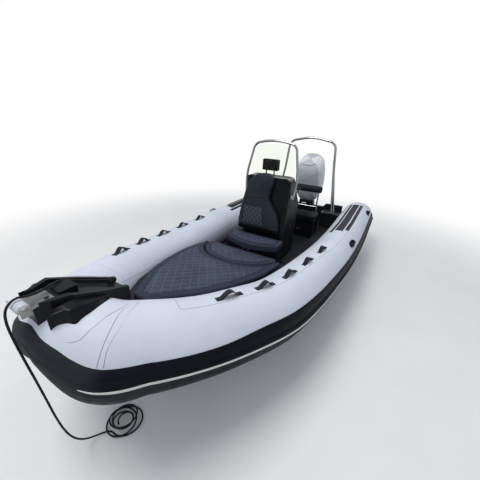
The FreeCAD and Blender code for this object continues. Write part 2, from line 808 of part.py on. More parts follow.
def bow_fittings():
    """Moulded bow step with rims, its pad, the metal plate and the roller."""
    wide = STEP_HALF_WIDTH
    plan_shares = ((0.42, 0.0), (0.74, 0.13), (1.0, 0.32), (0.95, 0.62), (0.66, 1.0))
    outline = [(across * wide, STEP_FRONT_Y + share * STEP_LENGTH) for across, share in plan_shares]
    plan = outline + [(-x, y) for x, y in reversed(outline)]
    body = plan_prism(plan, STEP_LOW_Z, STEP_TOP_Z + STEP_RIM_HEIGHT + 1)
    top = step_top()
    top[0] = (top[0][0] - 1, top[0][1])
    top[-1] = (top[-1][0] + 1, top[-1][1])
    side = [(top[0][0], STEP_LOW_Z - 1)] + top + [(top[-1][0], STEP_LOW_Z - 1)]
    step = body.common(side_prism(side, 400))
    inner_plan = [(x - STEP_RIM_WIDTH if x > 0 else x + STEP_RIM_WIDTH, y) for x, y in plan]
    inner = plan_prism(inner_plan, STEP_LOW_Z - 1, STEP_TOP_Z + 60)
    rim_side = [(y, z + STEP_RIM_HEIGHT) for y, z in top] + [(y, z - 6) for y, z in reversed(top)]
    rims = body.cut(inner).common(side_prism(rim_side, 400))
    plate_room = PLATE_HALF_WIDTH + PLATE_CLEARANCE
    rims = rims.cut(box(-plate_room, plate_room, STEP_FRONT_Y - 2, PLATE_AFT_Y + PLATE_CLEARANCE,
                        STEP_TOP_Z, STEP_TOP_Z + 60))
    pad_y = PLATE_AFT_Y + PAD_GAP
    pad = rounded(box(-PAD_HALF_WIDTH, PAD_HALF_WIDTH, pad_y, pad_y + PAD_LENGTH,
                      STEP_TOP_Z - 60, STEP_TOP_Z + PAD_HEIGHT), 10, Z_AXIS)
    step = trimmed(fused([step, rims, pad]))
    plate_z = STEP_TOP_Z + SEAT
    plate = box(-PLATE_HALF_WIDTH, PLATE_HALF_WIDTH, ROLLER_Y - 10, PLATE_AFT_Y, plate_z, plate_z + PLATE_THICKNESS)
    inside = PLATE_HALF_WIDTH - CHEEK_THICKNESS
    roller_z = plate_z + ROLLER_LIFT
    plate = plate.cut(box(-inside, inside, ROLLER_Y - 40, ROLLER_Y + ROLLER_RADIUS + 2,
                          plate_z - 60, plate_z + 60))
    cheeks = [box(side_x, side_x + CHEEK_THICKNESS, ROLLER_Y - 22, ROLLER_Y + ROLLER_RADIUS - 4,
                  plate_z - 24, plate_z + PLATE_THICKNESS + 12)
              for side_x in (-PLATE_HALF_WIDTH, inside)]
    plate = fused([plate] + cheeks)
    roller = Part.makeCylinder(ROLLER_RADIUS, ROLLER_LENGTH,
                               vec(-ROLLER_LENGTH / 2.0, ROLLER_Y, roller_z), X_AXIS)
    pin = Part.makeCylinder(6, 2 * (inside - SEAT), vec(SEAT - inside, ROLLER_Y, roller_z), X_AXIS)
    room = Part.makeCylinder(ROLLER_RADIUS + 3, 2 * inside, vec(-inside, ROLLER_Y, roller_z), X_AXIS)
    ears = box(-plate_room, plate_room, ROLLER_Y - 40, ROLLER_Y + ROLLER_RADIUS - 2,
               plate_z - 60, plate_z - SEAT)
    step = step.cut(room).cut(ears)
    return {"bow_step": step, "bow_plate": plate, "bow_roller": roller.fuse(pin)}


def console_profile(clearance=0.0):
    """Sharp-edged console body; the clearance stands off its dash only."""
    profile = [
        (CONSOLE_BASE_FRONT_Y, SOLE_Z + SEAT), (CONSOLE_BASE_AFT_Y, SOLE_Z + SEAT),
        (DASH_LOW_Y - 25 + clearance, DASH_LOW_Z - 70), (DASH_LOW_Y + clearance, DASH_LOW_Z),
        (CONSOLE_TOP_AFT_Y + clearance, CONSOLE_TOP_Z), (CONSOLE_TOP_FRONT_Y, CONSOLE_TOP_Z),
    ]
    return side_prism(profile, CONSOLE_HALF_WIDTH)


def hinge(y_pin, y_wall, z_lid):
    """Knuckles of a lid's hinge: the middle one for the box, the outer two for the lid."""
    z_pin = z_lid - HINGE_DROP
    half = HINGE_HALF_LENGTH
    middle = Part.makeCylinder(HINGE_RADIUS, 2 * half, vec(-half, y_pin, z_pin), X_AXIS)
    tab = box(-half, half, y_pin, y_wall + 1, z_pin - HINGE_RADIUS, z_pin + HINGE_RADIUS - 1)
    outer = []
    for start in (half + HINGE_SIDE_GAP, -2 * half - HINGE_SIDE_GAP):
        outer.append(Part.makeCylinder(HINGE_RADIUS, half, vec(start, y_pin, z_pin), X_AXIS))
        outer.append(box(start, start + half, y_pin - HINGE_RADIUS, y_pin + HINGE_RADIUS, z_pin, z_lid + 1))
    return [middle, tab], outer


def console():
    """Console body and the front seat box with its hinged cushion."""
    body = console_profile()
    side_edges = [edge for edge in body.Edges
                  if abs(edge.Vertexes[0].Point.x - edge.Vertexes[1].Point.x) < 1e-6
                  and edge.CenterOfMass.z > SOLE_Z + 1]
    body = body.makeFillet(CONSOLE_EDGE_RADIUS, side_edges)
    front = SEAT_FRONT_Y
    half = SEAT_HALF_WIDTH
    back = CONSOLE_BASE_FRONT_Y - SEAT

    def seat_plan(z, inset, y_back):
        y_side = front + 130
        return [
            Part.makeLine(vec(half - inset, y_back, z), vec(half - inset, y_side, z)),
            Part.Arc(vec(half - inset, y_side, z), vec(0, front + inset, z),
                     vec(inset - half, y_side, z)).toShape(),
            Part.makeLine(vec(inset - half, y_side, z), vec(inset - half, y_back, z)),
            Part.makeLine(vec(inset - half, y_back, z), vec(half - inset, y_back, z)),
        ]

    low = SOLE_Z + SEAT
    outer = Part.Face(Part.Wire(seat_plan(low, SEAT_OVERHANG, back)))
    outer = outer.extrude(V(0, 0, SEAT_BASE_TOP_Z - low))
    hollow = Part.Face(Part.Wire(seat_plan(low + SEAT_WALL, SEAT_OVERHANG + SEAT_WALL, SEAT_CUSHION_BACK_Y - 12)))
    base = outer.cut(hollow.extrude(V(0, 0, SEAT_BASE_TOP_Z)))
    cushion_low = SEAT_BASE_TOP_Z + LID_BOARD_GAP
    cushion = Part.Face(Part.Wire(seat_plan(cushion_low, 0, SEAT_CUSHION_BACK_Y))).extrude(V(0, 0, SEAT_CUSHION_THICKNESS))
    knuckles, lid_knuckles = hinge(front + HINGE_RADIUS, front + SEAT_OVERHANG, cushion_low)
    return {"console": body, "console_seat_base": fused([base] + knuckles),
            "console_seat_cushion": fused([cushion] + lid_knuckles)}


def console_front_y(z):
    share = (z - SOLE_Z) / float(CONSOLE_TOP_Z - SOLE_Z)
    return CONSOLE_BASE_FRONT_Y + share * (CONSOLE_TOP_FRONT_Y - CONSOLE_BASE_FRONT_Y)


def backrest():
    """Upholstered pad on the console's sloping front: narrow above, flared at its foot."""
    def at(x, z):
        return vec(x, console_front_y(z) - SEAT - 0.2, z)

    places = [at(x, z) for x, z in BACKREST_OUTLINE]
    edge = Part.BSplineCurve()
    edge.interpolate(places)
    outline = Part.Wire([edge.toShape(), Part.makeLine(places[-1], places[0])])
    pad = Part.Face(outline).extrude(V(0, -BACKREST_THICKNESS, 0))
    return {"console_backrest": pad}


def hoop_points():
    return [
        vec(-HOOP_HALF_LOW + 25, HOOP_Y, HOOP_LOW_Z), vec(-HOOP_HALF_LOW, HOOP_Y, HOOP_SHOULDER_Z),
        vec(-HOOP_HALF_HIGH, HOOP_Y, HOOP_CORNER_Z), vec(0, HOOP_Y, HOOP_TOP_Z + 12),
        vec(HOOP_HALF_HIGH, HOOP_Y, HOOP_CORNER_Z), vec(HOOP_HALF_LOW, HOOP_Y, HOOP_SHOULDER_Z),
        vec(HOOP_HALF_LOW - 25, HOOP_Y, HOOP_LOW_Z),
    ]


def screen():
    """Stainless hoop on the console's sides and the clear panel inside it."""
    hoop = bent_tube(hoop_points(), (700, 110, 900, 110, 700), HOOP_TUBE)
    feet = []
    for side in (-1, 1):
        x_inner = side * (CONSOLE_HALF_WIDTH + SEAT)
        x_outer = side * (HOOP_HALF_LOW - 25)
        low_x = min(x_inner, x_outer)
        feet.append(box(low_x, low_x + abs(x_outer - x_inner), HOOP_Y - 22, HOOP_Y + 22,
                        HOOP_LOW_Z + 10, HOOP_LOW_Z + 60))
    hoop = fused([hoop] + feet)
    inset = HOOP_TUBE + 2.5
    half_low = HOOP_HALF_LOW - inset - 16
    half_high = HOOP_HALF_HIGH - inset
    low = CONSOLE_TOP_Z + SEAT + SCREEN_THICKNESS / 2.0 * math.sin(math.radians(HOOP_RAKE))
    outline = [
        (half_low - CONSOLE_EDGE_RADIUS, low), (half_low - 14, low + 60),
        (half_high - 6, HOOP_CORNER_Z - 72), (half_high - 80, HOOP_TOP_Z - 66), (0, HOOP_TOP_Z - 40),
    ]
    outline += [(-x, z) for x, z in reversed(outline[:-1])]
    panel = prism([vec(x, HOOP_Y - SCREEN_THICKNESS / 2.0, z) for x, z in outline],
                  V(0, SCREEN_THICKNESS, 0))
    for piece in (hoop, panel):
        piece.rotate(vec(0, HOOP_Y, CONSOLE_TOP_Z), X_AXIS, -HOOP_RAKE)
    return {"screen_hoop": hoop, "windscreen": panel}


def dash_normal():
    run = V(0, CONSOLE_TOP_AFT_Y - DASH_LOW_Y, CONSOLE_TOP_Z - DASH_LOW_Z).normalize()
    return V(0, run.z, -run.y)


def helm_axis():
    angle = math.radians(WHEEL_TILT)
    return V(0, math.cos(angle), math.sin(angle))


def helm():
    """Steering wheel on its boss, throttle box and the plotter on its post."""
    axis = helm_axis()
    hub = WHEEL_HUB
    rim_centre = hub.add(V(axis).multiply(WHEEL_DISH))
    rim = Part.makeTorus(WHEEL_RADIUS, WHEEL_RIM, rim_centre, axis)
    disc = Part.makeCylinder(WHEEL_HUB_RADIUS, WHEEL_DISH, hub, axis)
    spokes = []
    side = X_AXIS
    up = axis.cross(side)
    for degrees in (90, 210, 330):
        angle = math.radians(degrees)
        way = V(side).multiply(math.cos(angle)).add(V(up).multiply(math.sin(angle)))
        first = hub.add(V(axis).multiply(WHEEL_DISH * 0.5)).add(V(way).multiply(WHEEL_HUB_RADIUS * 0.6))
        last = rim_centre.add(V(way).multiply(WHEEL_RADIUS - 3))
        run = last.sub(first)
        spokes.append(Part.makeCylinder(10, run.Length, first, run))
    wheel = fused([rim, disc] + spokes)
    bore = Part.makeCylinder(SHAFT_RADIUS + SHAFT_CLEARANCE, WHEEL_DISH - 12, hub.sub(V(axis).multiply(1)), axis)
    wheel = wheel.cut(bore)
    boss_start = hub.sub(V(axis).multiply(HELM_BOSS_LENGTH + 140))
    boss = Part.makeCylinder(HELM_BOSS_RADIUS, HELM_BOSS_LENGTH + 140 - 5, boss_start, axis)
    boss = boss.cut(console_profile(SEAT))
    shaft = Part.makeCylinder(SHAFT_RADIUS, WHEEL_DISH - 16 + 40, hub.sub(V(axis).multiply(40)), axis)
    return {"steering_wheel": wheel, "helm_boss": boss.fuse(shaft)}


def helm_small():
    normal = dash_normal()
    run = V(0, -normal.z, normal.y)
    base = vec(THROTTLE_X, (DASH_LOW_Y + CONSOLE_TOP_AFT_Y) / 2.0 + 60, 0)
    share = (DASH_LOW_Y - base.y) / float(DASH_LOW_Y - CONSOLE_TOP_AFT_Y)
    base.z = DASH_LOW_Z + share * (CONSOLE_TOP_Z - DASH_LOW_Z)
    start = base.add(V(normal).multiply(SEAT))
    block = Part.makeBox(70, 120, 60)
    block.translate(V(-35, -60, 0))
    block.rotate(ORIGIN, X_AXIS, -math.degrees(math.atan2(normal.y, normal.z)))
    block.translate(start)
    lever_low = start.add(V(normal).multiply(40)).add(V(42, 0, 0))
    lever_high = lever_low.add(V(normal).multiply(120)).add(V(run).multiply(-30))
    stem = Part.makeCylinder(8, lever_high.sub(lever_low).Length, lever_low, lever_high.sub(lever_low))
    knuckle = Part.makeCylinder(16, 24, lever_low.sub(V(20, 0, 0)), X_AXIS)
    knob = Part.makeCylinder(17, 84, lever_high.sub(V(66, 0, 0)), X_AXIS)
    throttle = fused([block, stem, knuckle, knob])
    x = PLOTTER_WIDTH / 2.0
    low = PLOTTER_Z - PLOTTER_HEIGHT / 2.0
    case = box(PLOTTER_X - x, PLOTTER_X + x, PLOTTER_FRONT_Y, PLOTTER_FRONT_Y + PLOTTER_DEPTH, low, low + PLOTTER_HEIGHT)
    case = rounded(case, 14, Y_AXIS)
    post_y = PLOTTER_FRONT_Y + PLOTTER_POST + 8
    posts = [Part.makeCylinder(PLOTTER_POST, low - CONSOLE_TOP_Z - SEAT + 2,
                               vec(PLOTTER_X + px, post_y, CONSOLE_TOP_Z + SEAT), Z_AXIS)
             for px in (-60, 60)]
    return {"throttle": throttle, "plotter": fused([case] + posts)}


def helm_seat():
    front = HELM_FRONT_Y
    aft = HELM_AFT_Y
    half = HELM_HALF_WIDTH
    low = SOLE_Z + SEAT
    outer = rounded(box(-half, half, front + 25, aft, low, HELM_BOX_TOP_Z), 35, Z_AXIS)
    inner = box(HELM_WALL - half, half - HELM_WALL, front + 25 + HELM_WALL, aft - HELM_WALL,
                low + HELM_WALL, HELM_BOX_TOP_Z + 1)
    seat_box = outer.cut(rounded(inner, 21, Z_AXIS))
    z0 = HELM_BOX_TOP_Z + LID_BOARD_GAP
    cushion = rounded(box(-half - 20, half + 20, front, aft - 70, z0, z0 + HELM_CUSHION_THICKNESS), 45, Z_AXIS)
    knuckles, lid_knuckles = hinge(front + HINGE_RADIUS, front + 25, z0)
    seat_box = fused([seat_box] + knuckles)
    cushion = fused([cushion] + lid_knuckles)
    ring_y = front + 25 - SEAT
    ring = Part.makeCylinder(SPEAKER_RADIUS, 14, vec(half * 0.52, ring_y, 600), V(0, -1, 0))
    ring = ring.cut(Part.makeCylinder(SPEAKER_RADIUS - 14, 9, vec(half * 0.52, ring_y - 6, 600), V(0, -1, 0)))
    return {"helm_seat_box": seat_box, "helm_seat_cushion": cushion, "seat_fitting": ring}


def helm_backrest():
    """Tube frame up from the seat box and the roll bolster across it."""
    x = BOLSTER_HALF_WIDTH - 55
    y_foot = HELM_AFT_Y + SEAT + SEAT_TUBE
    frames = []
    for side in (-1, 1):
        points = [vec(side * x, y_foot, 520), vec(side * x, y_foot, 1000),
                  vec(side * x, BOLSTER_Y + 20, BOLSTER_Z - BOLSTER_RADIUS - SEAT)]
        leg = bent_tube(points, (300,), SEAT_TUBE)
        frames.append(leg)
    bar = Part.makeCylinder(SEAT_TUBE, 2 * x, vec(-x, y_foot, 900), X_AXIS)
    frame = fused(frames + [bar])
    ends = BOLSTER_HALF_WIDTH
    roll = Part.makeCylinder(BOLSTER_RADIUS, 2 * ends, vec(-ends, BOLSTER_Y, BOLSTER_Z), X_AXIS)
    roll = roll.makeFillet(22, roll.Edges[0:1] + roll.Edges[2:3])
    frame = frame.cut(Part.makeCylinder(BOLSTER_RADIUS + SEAT, 2 * ends, vec(-ends, BOLSTER_Y, BOLSTER_Z), X_AXIS))
    return {"seat_frame": frame, "backrest_bolster": roll}


def stern():
    """Transom board and the lockers that flank the engine well."""
    half = TRANSOM_HALF_WIDTH
    notch = TRANSOM_NOTCH_X
    low = SOLE_Z + SEAT
    outline = [(-half, low), (half, low), (half, TRANSOM_WING_Z), (notch + 60, TRANSOM_WING_Z),
               (notch, TRANSOM_TOP_Z), (-notch, TRANSOM_TOP_Z), (-notch - 60, TRANSOM_WING_Z),
               (-half, TRANSOM_WING_Z)]
    front = TRANSOM_Y - TRANSOM_THICKNESS
    board = prism([vec(x, front, z) for x, z in outline], V(0, TRANSOM_THICKNESS, 0))
    locker = box(LOCKER_INNER_X, 900, LOCKER_FRONT_Y, front - SEAT, low, LOCKER_TOP_Z)
    locker = rounded(locker, 40, Z_AXIS).cut(COLLAR_CLEAR)
    locker = sorted(locker.Solids, key=lambda one: one.Volume)[-1]
    return {"transom": trimmed(board), "stern_lockers": both_sides(locker)}


def arch():
    foot_z = LOCKER_TOP_Z + SEAT
    tube_z = foot_z + 6
    points = [
        vec(-ARCH_FOOT_X, ARCH_Y, tube_z), vec(-ARCH_HALF_HIGH - 30, ARCH_Y, 1500),
        vec(-ARCH_HALF_HIGH + 20, ARCH_Y, ARCH_CORNER_Z + 120), vec(0, ARCH_Y, ARCH_TOP_Z + 14),
        vec(ARCH_HALF_HIGH - 20, ARCH_Y, ARCH_CORNER_Z + 120), vec(ARCH_HALF_HIGH + 30, ARCH_Y, 1500),
        vec(ARCH_FOOT_X, ARCH_Y, tube_z),
    ]
    hoop = bent_tube(points, (1200, 150, 900, 150, 1200), ARCH_TUBE)
    pieces = [hoop]
    for side in (-1, 1):
        high = vec(side * (ARCH_HALF_HIGH - 2), ARCH_Y - 4, BRACE_HIGH_Z)
        low = vec(side * (ARCH_FOOT_X - 22), BRACE_FOOT_Y, foot_z + 10)
        run = high.sub(low)
        pieces.append(Part.makeCylinder(14, run.Length, low, run))
        pieces.append(Part.makeCylinder(36, 10, vec(side * ARCH_FOOT_X, ARCH_Y, foot_z), Z_AXIS))
        pieces.append(Part.makeCylinder(28, 14, vec(side * (ARCH_FOOT_X - 22), BRACE_FOOT_Y, foot_z), Z_AXIS))
    return {"roll_arch": fused(pieces)}


# Outboard engine, in its upright frame: origin at the tilt pivot

def tilted(shape):
    placed = shape.copy()
    placed.rotate(ORIGIN, X_AXIS, REST_TILT)
    placed.translate(PIVOT)
    return placed


def clamp_bracket():
    """Fixed bracket: two ears outside the swivel and pads on the transom."""
    x1 = CLAMP_HALF_WIDTH
    front = TRANSOM_Y + SEAT
    pieces = []
    profile = [(TRANSOM_Y - TRANSOM_THICKNESS - 26, 830), (TRANSOM_Y - TRANSOM_THICKNESS - 26, 700),
               (TRANSOM_Y - TRANSOM_THICKNESS - SEAT, 700), (TRANSOM_Y - TRANSOM_THICKNESS - SEAT, TRANSOM_TOP_Z + SEAT),
               (front, TRANSOM_TOP_Z + SEAT), (front, 430), (front + 34, 430), (front + 60, 640),
               (front + 40, 800), (TRANSOM_Y - 20, 835)]
    for side in (-1, 1):
        mid = side * (x1 - CLAMP_EAR / 2.0)
        pieces.append(side_prism(profile, CLAMP_EAR / 2.0, mid))
    bar = Part.makeCylinder(PIVOT_TUBE, 2 * x1, V(-x1, PIVOT.y, PIVOT.z), X_AXIS)
    return fused(pieces + [bar])


def swivel():
    """Part that tilts: a barrel round the steering axis, hung on the pivot."""
    inner = CLAMP_HALF_WIDTH - CLAMP_EAR - 6
    sleeve = Part.makeCylinder(PIVOT_TUBE + 17, 2 * inner, V(-inner, 0, 0), X_AXIS)
    web = box(-46, 46, 8, STEER_OFFSET + 46, -20, 32)
    barrel = Part.makeCylinder(SWIVEL_RADIUS, 400, V(0, STEER_OFFSET + 62, -360), Z_AXIS)
    yoke = box(-40, 40, STEER_OFFSET, STEER_OFFSET + 62, -300, -50)
    body = fused([sleeve, web, barrel, yoke])
    body = body.cut(Part.makeCylinder(PIVOT_TUBE + SHAFT_CLEARANCE, 2 * inner + 2, V(-inner - 1, 0, 0), X_AXIS))
    return body.cut(Part.makeCylinder(22 + SHAFT_CLEARANCE, 420, V(0, STEER_OFFSET + 62, -370), Z_AXIS))


def leg():
    """Steered part below the powerhead: neck, leg, plate, gearcase and skeg."""
    y_axis_line = STEER_OFFSET + 62
    pin = Part.makeCylinder(22, 404, V(0, y_axis_line, -362), Z_AXIS)
    top = box(-90, 90, y_axis_line - 60, 330, LEG_TOP_Z - 24, LEG_TOP_Z)
    foot = box(-52, 52, y_axis_line - 40, y_axis_line + 150, -420, -364)
    sections = (
        (-364, y_axis_line + 55, 310, 62), (-470, y_axis_line - 30, 300, 56),
        (PLATE_Z, y_axis_line - 10, 330, 36), (PROP_Z + 40, y_axis_line + 10, 325, 30),
    )
    wires = []
    for z, y0, y1, half in sections:
        points = [vec(0, y0, z), vec(half, y0 + (y1 - y0) * 0.35, z), vec(half * 0.7, y1, z),
                  vec(-half * 0.7, y1, z), vec(-half, y0 + (y1 - y0) * 0.35, z)]
        wires.append(Part.makePolygon(points + [points[0]]))
    blade = ruled(wires)
    spine = box(-62, 62, y_axis_line + 55, 310, -364, LEG_TOP_Z)
    plate = plan_prism([(0, y_axis_line - 20), (95, 220), (120, 300), (120, 470), (60, 520),
                        (-60, 520), (-120, 470), (-120, 300), (-95, 220)], PLATE_Z - 5, PLATE_Z + 5)
    nose = y_axis_line - 60
    profile = [
        Part.Arc(vec(0, nose, 0), vec(GEARCASE_RADIUS * 0.75, nose + 45, 0),
                 vec(GEARCASE_RADIUS, nose + 120, 0)).toShape(),
        Part.makeLine(vec(GEARCASE_RADIUS, nose + 120, 0), vec(GEARCASE_RADIUS, 265, 0)),
        Part.makeLine(vec(GEARCASE_RADIUS, 265, 0), vec(PROP_HUB_RADIUS + 3, PROP_Y - 6, 0)),
        Part.makeLine(vec(PROP_HUB_RADIUS + 3, PROP_Y - 6, 0), vec(0, PROP_Y - 6, 0)),
        Part.makeLine(vec(0, PROP_Y - 6, 0), vec(0, nose, 0)),
    ]
    case = Part.Face(Part.Wire(profile)).revolve(ORIGIN, Y_AXIS, 360)
    case.translate(V(0, 0, PROP_Z))
    prop_shaft = Part.makeCylinder(12, PROP_HUB_LENGTH + 40, V(0, PROP_Y - 20, PROP_Z), Y_AXIS)
    skeg = side_prism([(140, PROP_Z - 30), (300, PROP_Z - 30), (345, SKEG_Z + 12), (285, SKEG_Z)], 7)
    return fused([pin, top, foot, blade, spine, plate, case, prop_shaft, skeg])


def cover_wire(row, inset):
    data = dict(zip(COVER_COLUMNS, row))
    y0 = data["front_y"] + inset
    y1 = data["aft_y"] - inset
    half = data["half_width"] - inset
    z = data["z"]
    corner = min(half, 120)
    return Part.Wire([
        Part.Arc(vec(-half, y0 + corner, z), vec(0, y0, z), vec(half, y0 + corner, z)).toShape(),
        Part.makeLine(vec(half, y0 + corner, z), vec(half, y1 - corner, z)),
        Part.Arc(vec(half, y1 - corner, z), vec(0, y1, z), vec(-half, y1 - corner, z)).toShape(),
        Part.makeLine(vec(-half, y1 - corner, z), vec(-half, y0 + corner, z)),
    ])


def powerhead():
    """Fabric cover shell and the heavy powerhead block inside it."""
    outer = ruled([cover_wire(row, 0) for row in COVER])
    wide, deep, high = BLOCK_SIZE
    y0 = 20
    z0 = LEG_TOP_Z + SEAT
    block = box(-wide / 2.0, wide / 2.0, y0, y0 + deep, z0, z0 + high)
    hollow = box(-wide / 2.0 - SEAT, wide / 2.0 + SEAT, y0 - SEAT, y0 + deep + SEAT, z0 - 10, z0 + high + SEAT)
    return {"engine_cover": outer.cut(hollow), "powerhead": block}


def propeller():
    hub = Part.makeCylinder(PROP_HUB_RADIUS, PROP_HUB_LENGTH, V(0, PROP_Y, 0), Y_AXIS)
    blades = []
    for index in range(BLADE_COUNT):
        wires = []
        for radius, chord, pitch in ((30, 70, 55), (80, 125, 38), (120, 128, 28), (PROP_RADIUS, 40, 24)):
            angle = math.radians(pitch)
            half = chord / 2.0
            along = V(math.cos(angle), math.sin(angle), 0)
            across = V(-math.sin(angle), math.cos(angle), 0)
            thick = 4.5 - radius * 0.012
            centre = V(0, PROP_Y + PROP_HUB_LENGTH / 2.0, radius)
            points = []
            for run, side in ((-1, 0), (0, 1), (1, 0), (0, -1)):
                points.append(centre.add(V(along).multiply(run * half)).add(V(across).multiply(side * thick)))
            wires.append(Part.makePolygon(points + [points[0]]))
        blade = ruled(wires)
        blade.rotate(ORIGIN, Y_AXIS, 360.0 * index / BLADE_COUNT)
        blades.append(blade)
    prop = fused([hub] + blades)
    prop = prop.cut(Part.makeCylinder(12 + SHAFT_CLEARANCE, PROP_HUB_LENGTH + 2, V(0, PROP_Y - 1, 0), Y_AXIS))
    prop.translate(V(0, 0, PROP_Z))
    return prop


def engine():
    nodes = {"engine_clamp": clamp_bracket(), "engine_swivel": tilted(swivel()),
             "engine_leg": tilted(leg()), "propeller": tilted(propeller())}
    for name, shape in powerhead().items():
        nodes[name] = tilted(shape)
    return nodes


# Mooring line

def rope_bends(points):
    """Arc radius at each inner point, as large as its two runs allow."""
    bends = []
    for before, corner, after in zip(points, points[1:], points[2:]):
        first = corner.sub(before)
        last = after.sub(corner)
        turn = first.getAngle(last)
        bends.append(0.45 * min(first.Length, last.Length) / math.tan(turn / 2.0))
    return bends


def rope():
    points = [vec(*point) for point in ROPE_ROUTE]
    bends = rope_bends(points)
    print("rope bend radii", [round(bend) for bend in bends])
    line = bent_tube(points, bends, ROPE_RADIUS)
    pile = Part.makeCone(PILE_RADIUS, PILE_RADIUS * 0.5, PILE_HEIGHT, PILE_CENTRE, Z_AXIS)
    knot = Part.makeCylinder(KNOT_RADIUS, KNOT_LENGTH, points[0], V(0, 1, -0.47)).cut(line)
    return {"mooring_line": line, "mooring_pile": pile.cut(line), "mooring_knot": knot}


def build():
    nodes = {}
    nodes.update(collar())
    nodes.update(end_caps())
    nodes.update(bands())
    nodes.update(straps())
    nodes.update(grips())
    nodes.update(treads())
    nodes.update(hull())
    nodes.update(chocks())
    nodes.update(bow_deck())
    nodes.update(cushions())
    nodes.update(bow_fittings())
    nodes.update(console())
    nodes.update(backrest())
    nodes.update(screen())
    nodes.update(helm())
    nodes.update(helm_small())
    nodes.update(helm_seat())
    nodes.update(helm_backrest())
    nodes.update(stern())
    nodes.update(arch())
    nodes.update(engine())
    nodes.update(rope())
    return nodes


os.makedirs("parts", exist_ok=True)
for node_name, node_shape in build().items():
    node_shape.translate(V(0, -MIDDLE_Y, 0))
    valid = node_shape.isValid()
    bound = node_shape.optimalBoundingBox()
    print("%-22s solids %d valid %s volume %.4f m3 box %s" % (
        node_name, len(node_shape.Solids), valid, node_shape.Volume / 1e9,
        [round(value) for value in (bound.XMin, bound.XMax, bound.YMin, bound.YMax, bound.ZMin, bound.ZMax)]))
    node_shape.exportStep("parts/%s.step" % node_name)
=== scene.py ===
"""Looks of a rigid-hull inflatable boat that stands on low chocks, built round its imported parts.

Metres, +Z up, bow towards -Y, port side at +X. The drawing's stations are measured along the
boat from a line 22 mm aft of the part's origin, so every shape is worked out in the drawing's
places first and moved by that much when its mesh is made.
"""
import math

import bmesh
import bpy
import numpy as np
from mathutils import Matrix, Vector


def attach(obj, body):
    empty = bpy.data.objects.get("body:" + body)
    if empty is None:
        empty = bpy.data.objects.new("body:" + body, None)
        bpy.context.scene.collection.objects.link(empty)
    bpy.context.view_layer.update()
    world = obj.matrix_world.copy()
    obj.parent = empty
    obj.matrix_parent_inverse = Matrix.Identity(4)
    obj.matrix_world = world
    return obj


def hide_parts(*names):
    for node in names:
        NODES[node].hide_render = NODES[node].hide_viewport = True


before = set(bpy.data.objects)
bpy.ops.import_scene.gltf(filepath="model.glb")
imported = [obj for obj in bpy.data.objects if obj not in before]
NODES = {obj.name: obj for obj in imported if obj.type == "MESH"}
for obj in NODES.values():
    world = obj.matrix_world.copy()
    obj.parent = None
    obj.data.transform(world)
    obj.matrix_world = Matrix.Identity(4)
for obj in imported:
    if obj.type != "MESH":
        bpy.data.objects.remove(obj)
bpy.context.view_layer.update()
SCENE = bpy.context.scene
MIDDLE = 0.022
FULL_TURN = 2 * math.pi

# Collar, stern to stem: y, x, z and radius of the port tube, angle of the rub band's top edge
# above the tube's outer side, and how far the band stands proud there
COLLAR = np.array((
    (2.430, 1.010, 0.590, 0.285, 25, 0.009), (1.700, 1.009, 0.590, 0.285, 25, 0.009),
    (0.900, 1.005, 0.590, 0.285, 25, 0.009), (0.000, 0.965, 0.606, 0.285, 25, 0.009),
    (-0.600, 0.905, 0.634, 0.285, 26, 0.009), (-1.000, 0.856, 0.661, 0.285, 27, 0.009),
    (-1.400, 0.783, 0.702, 0.285, 29, 0.009), (-1.750, 0.666, 0.769, 0.283, 28, 0.010),
    (-2.060, 0.535, 0.834, 0.276, 23, 0.013), (-2.379, 0.344, 0.918, 0.276, 22, 0.018),
    (-2.545, 0.220, 0.972, 0.277, 24, 0.022), (-2.598, 0.140, 1.036, 0.250, 27, 0.022),
    (-2.629, 0.062, 1.090, 0.222, 31, 0.022), (-2.634, 0.000, 1.108, 0.208, 35, 0.022),
))
TUBE_RADIUS = 0.285
BAND_LOW_DEG = -62.0
BAND_EDGE = 0.0058
RAIL_PROUD = 0.0248
STRIPE_END = 0.235
STRAP_Y = (-0.310, -0.745, -1.150, -1.545, -1.900)
GRIP_Y = (0.390, 2.080)
GRIP_DEG = 44.0
# Tread strips: lower and upper angle, front and aft station
TREADS = ((111, 119, 0.470, 2.230), (86, 107, 0.560, 2.230), (72, 82, 0.650, 2.230))

# Deck, its cushions and their quilting
DECK_AFT_Y = -0.560
DECK_AFT_Z = 0.700
DECK_SLOPE = 0.16
CUSHION_THICKNESS = 0.052
SEATING = 0.0003
BORDER = 0.074
DIAMOND_DEG = 38.0
FLAT_CELL = 0.074
BACK_CELL = 0.053

# Console, engine pivot and the engine cover's cloth
CONSOLE_BASE_FRONT_Y = -0.105
CONSOLE_TOP_FRONT_Y = 0.020
CONSOLE_TOP_Z = 1.610
SOLE_Z = 0.430
BACKREST_THICKNESS = 0.095
CONSOLE_LID_Z = 0.7355
HELM_LID_Z = 0.7405
PIVOT = np.array((0.0, 2.150, 0.800))
REST_TILT = math.radians(25)


# Meshes from arrays

def in_frame(points):
    """Moves drawing places into the part's frame."""
    moved = np.array(points, float).reshape(-1, 3)
    moved[:, 1] -= MIDDLE
    return moved


def vertex_places(mesh):
    found = np.empty(len(mesh.vertices) * 3, np.float32)
    mesh.vertices.foreach_get("co", found)
    return found.reshape(-1, 3)


def drawing_places(mesh):
    """A mesh's places, back in the drawing."""
    return vertex_places(mesh).astype(float) + (0, MIDDLE, 0)


def ring_faces(rows, cols):
    """Four-sided faces of a tube-like grid whose points are stored ring by ring."""
    a, b = np.meshgrid(np.arange(rows - 1), np.arange(cols), indexing="ij")
    c, d = a + 1, (b + 1) % cols
    return np.stack([a * cols + b, c * cols + b, c * cols + d, a * cols + d], -1).reshape(-1, 4).tolist()


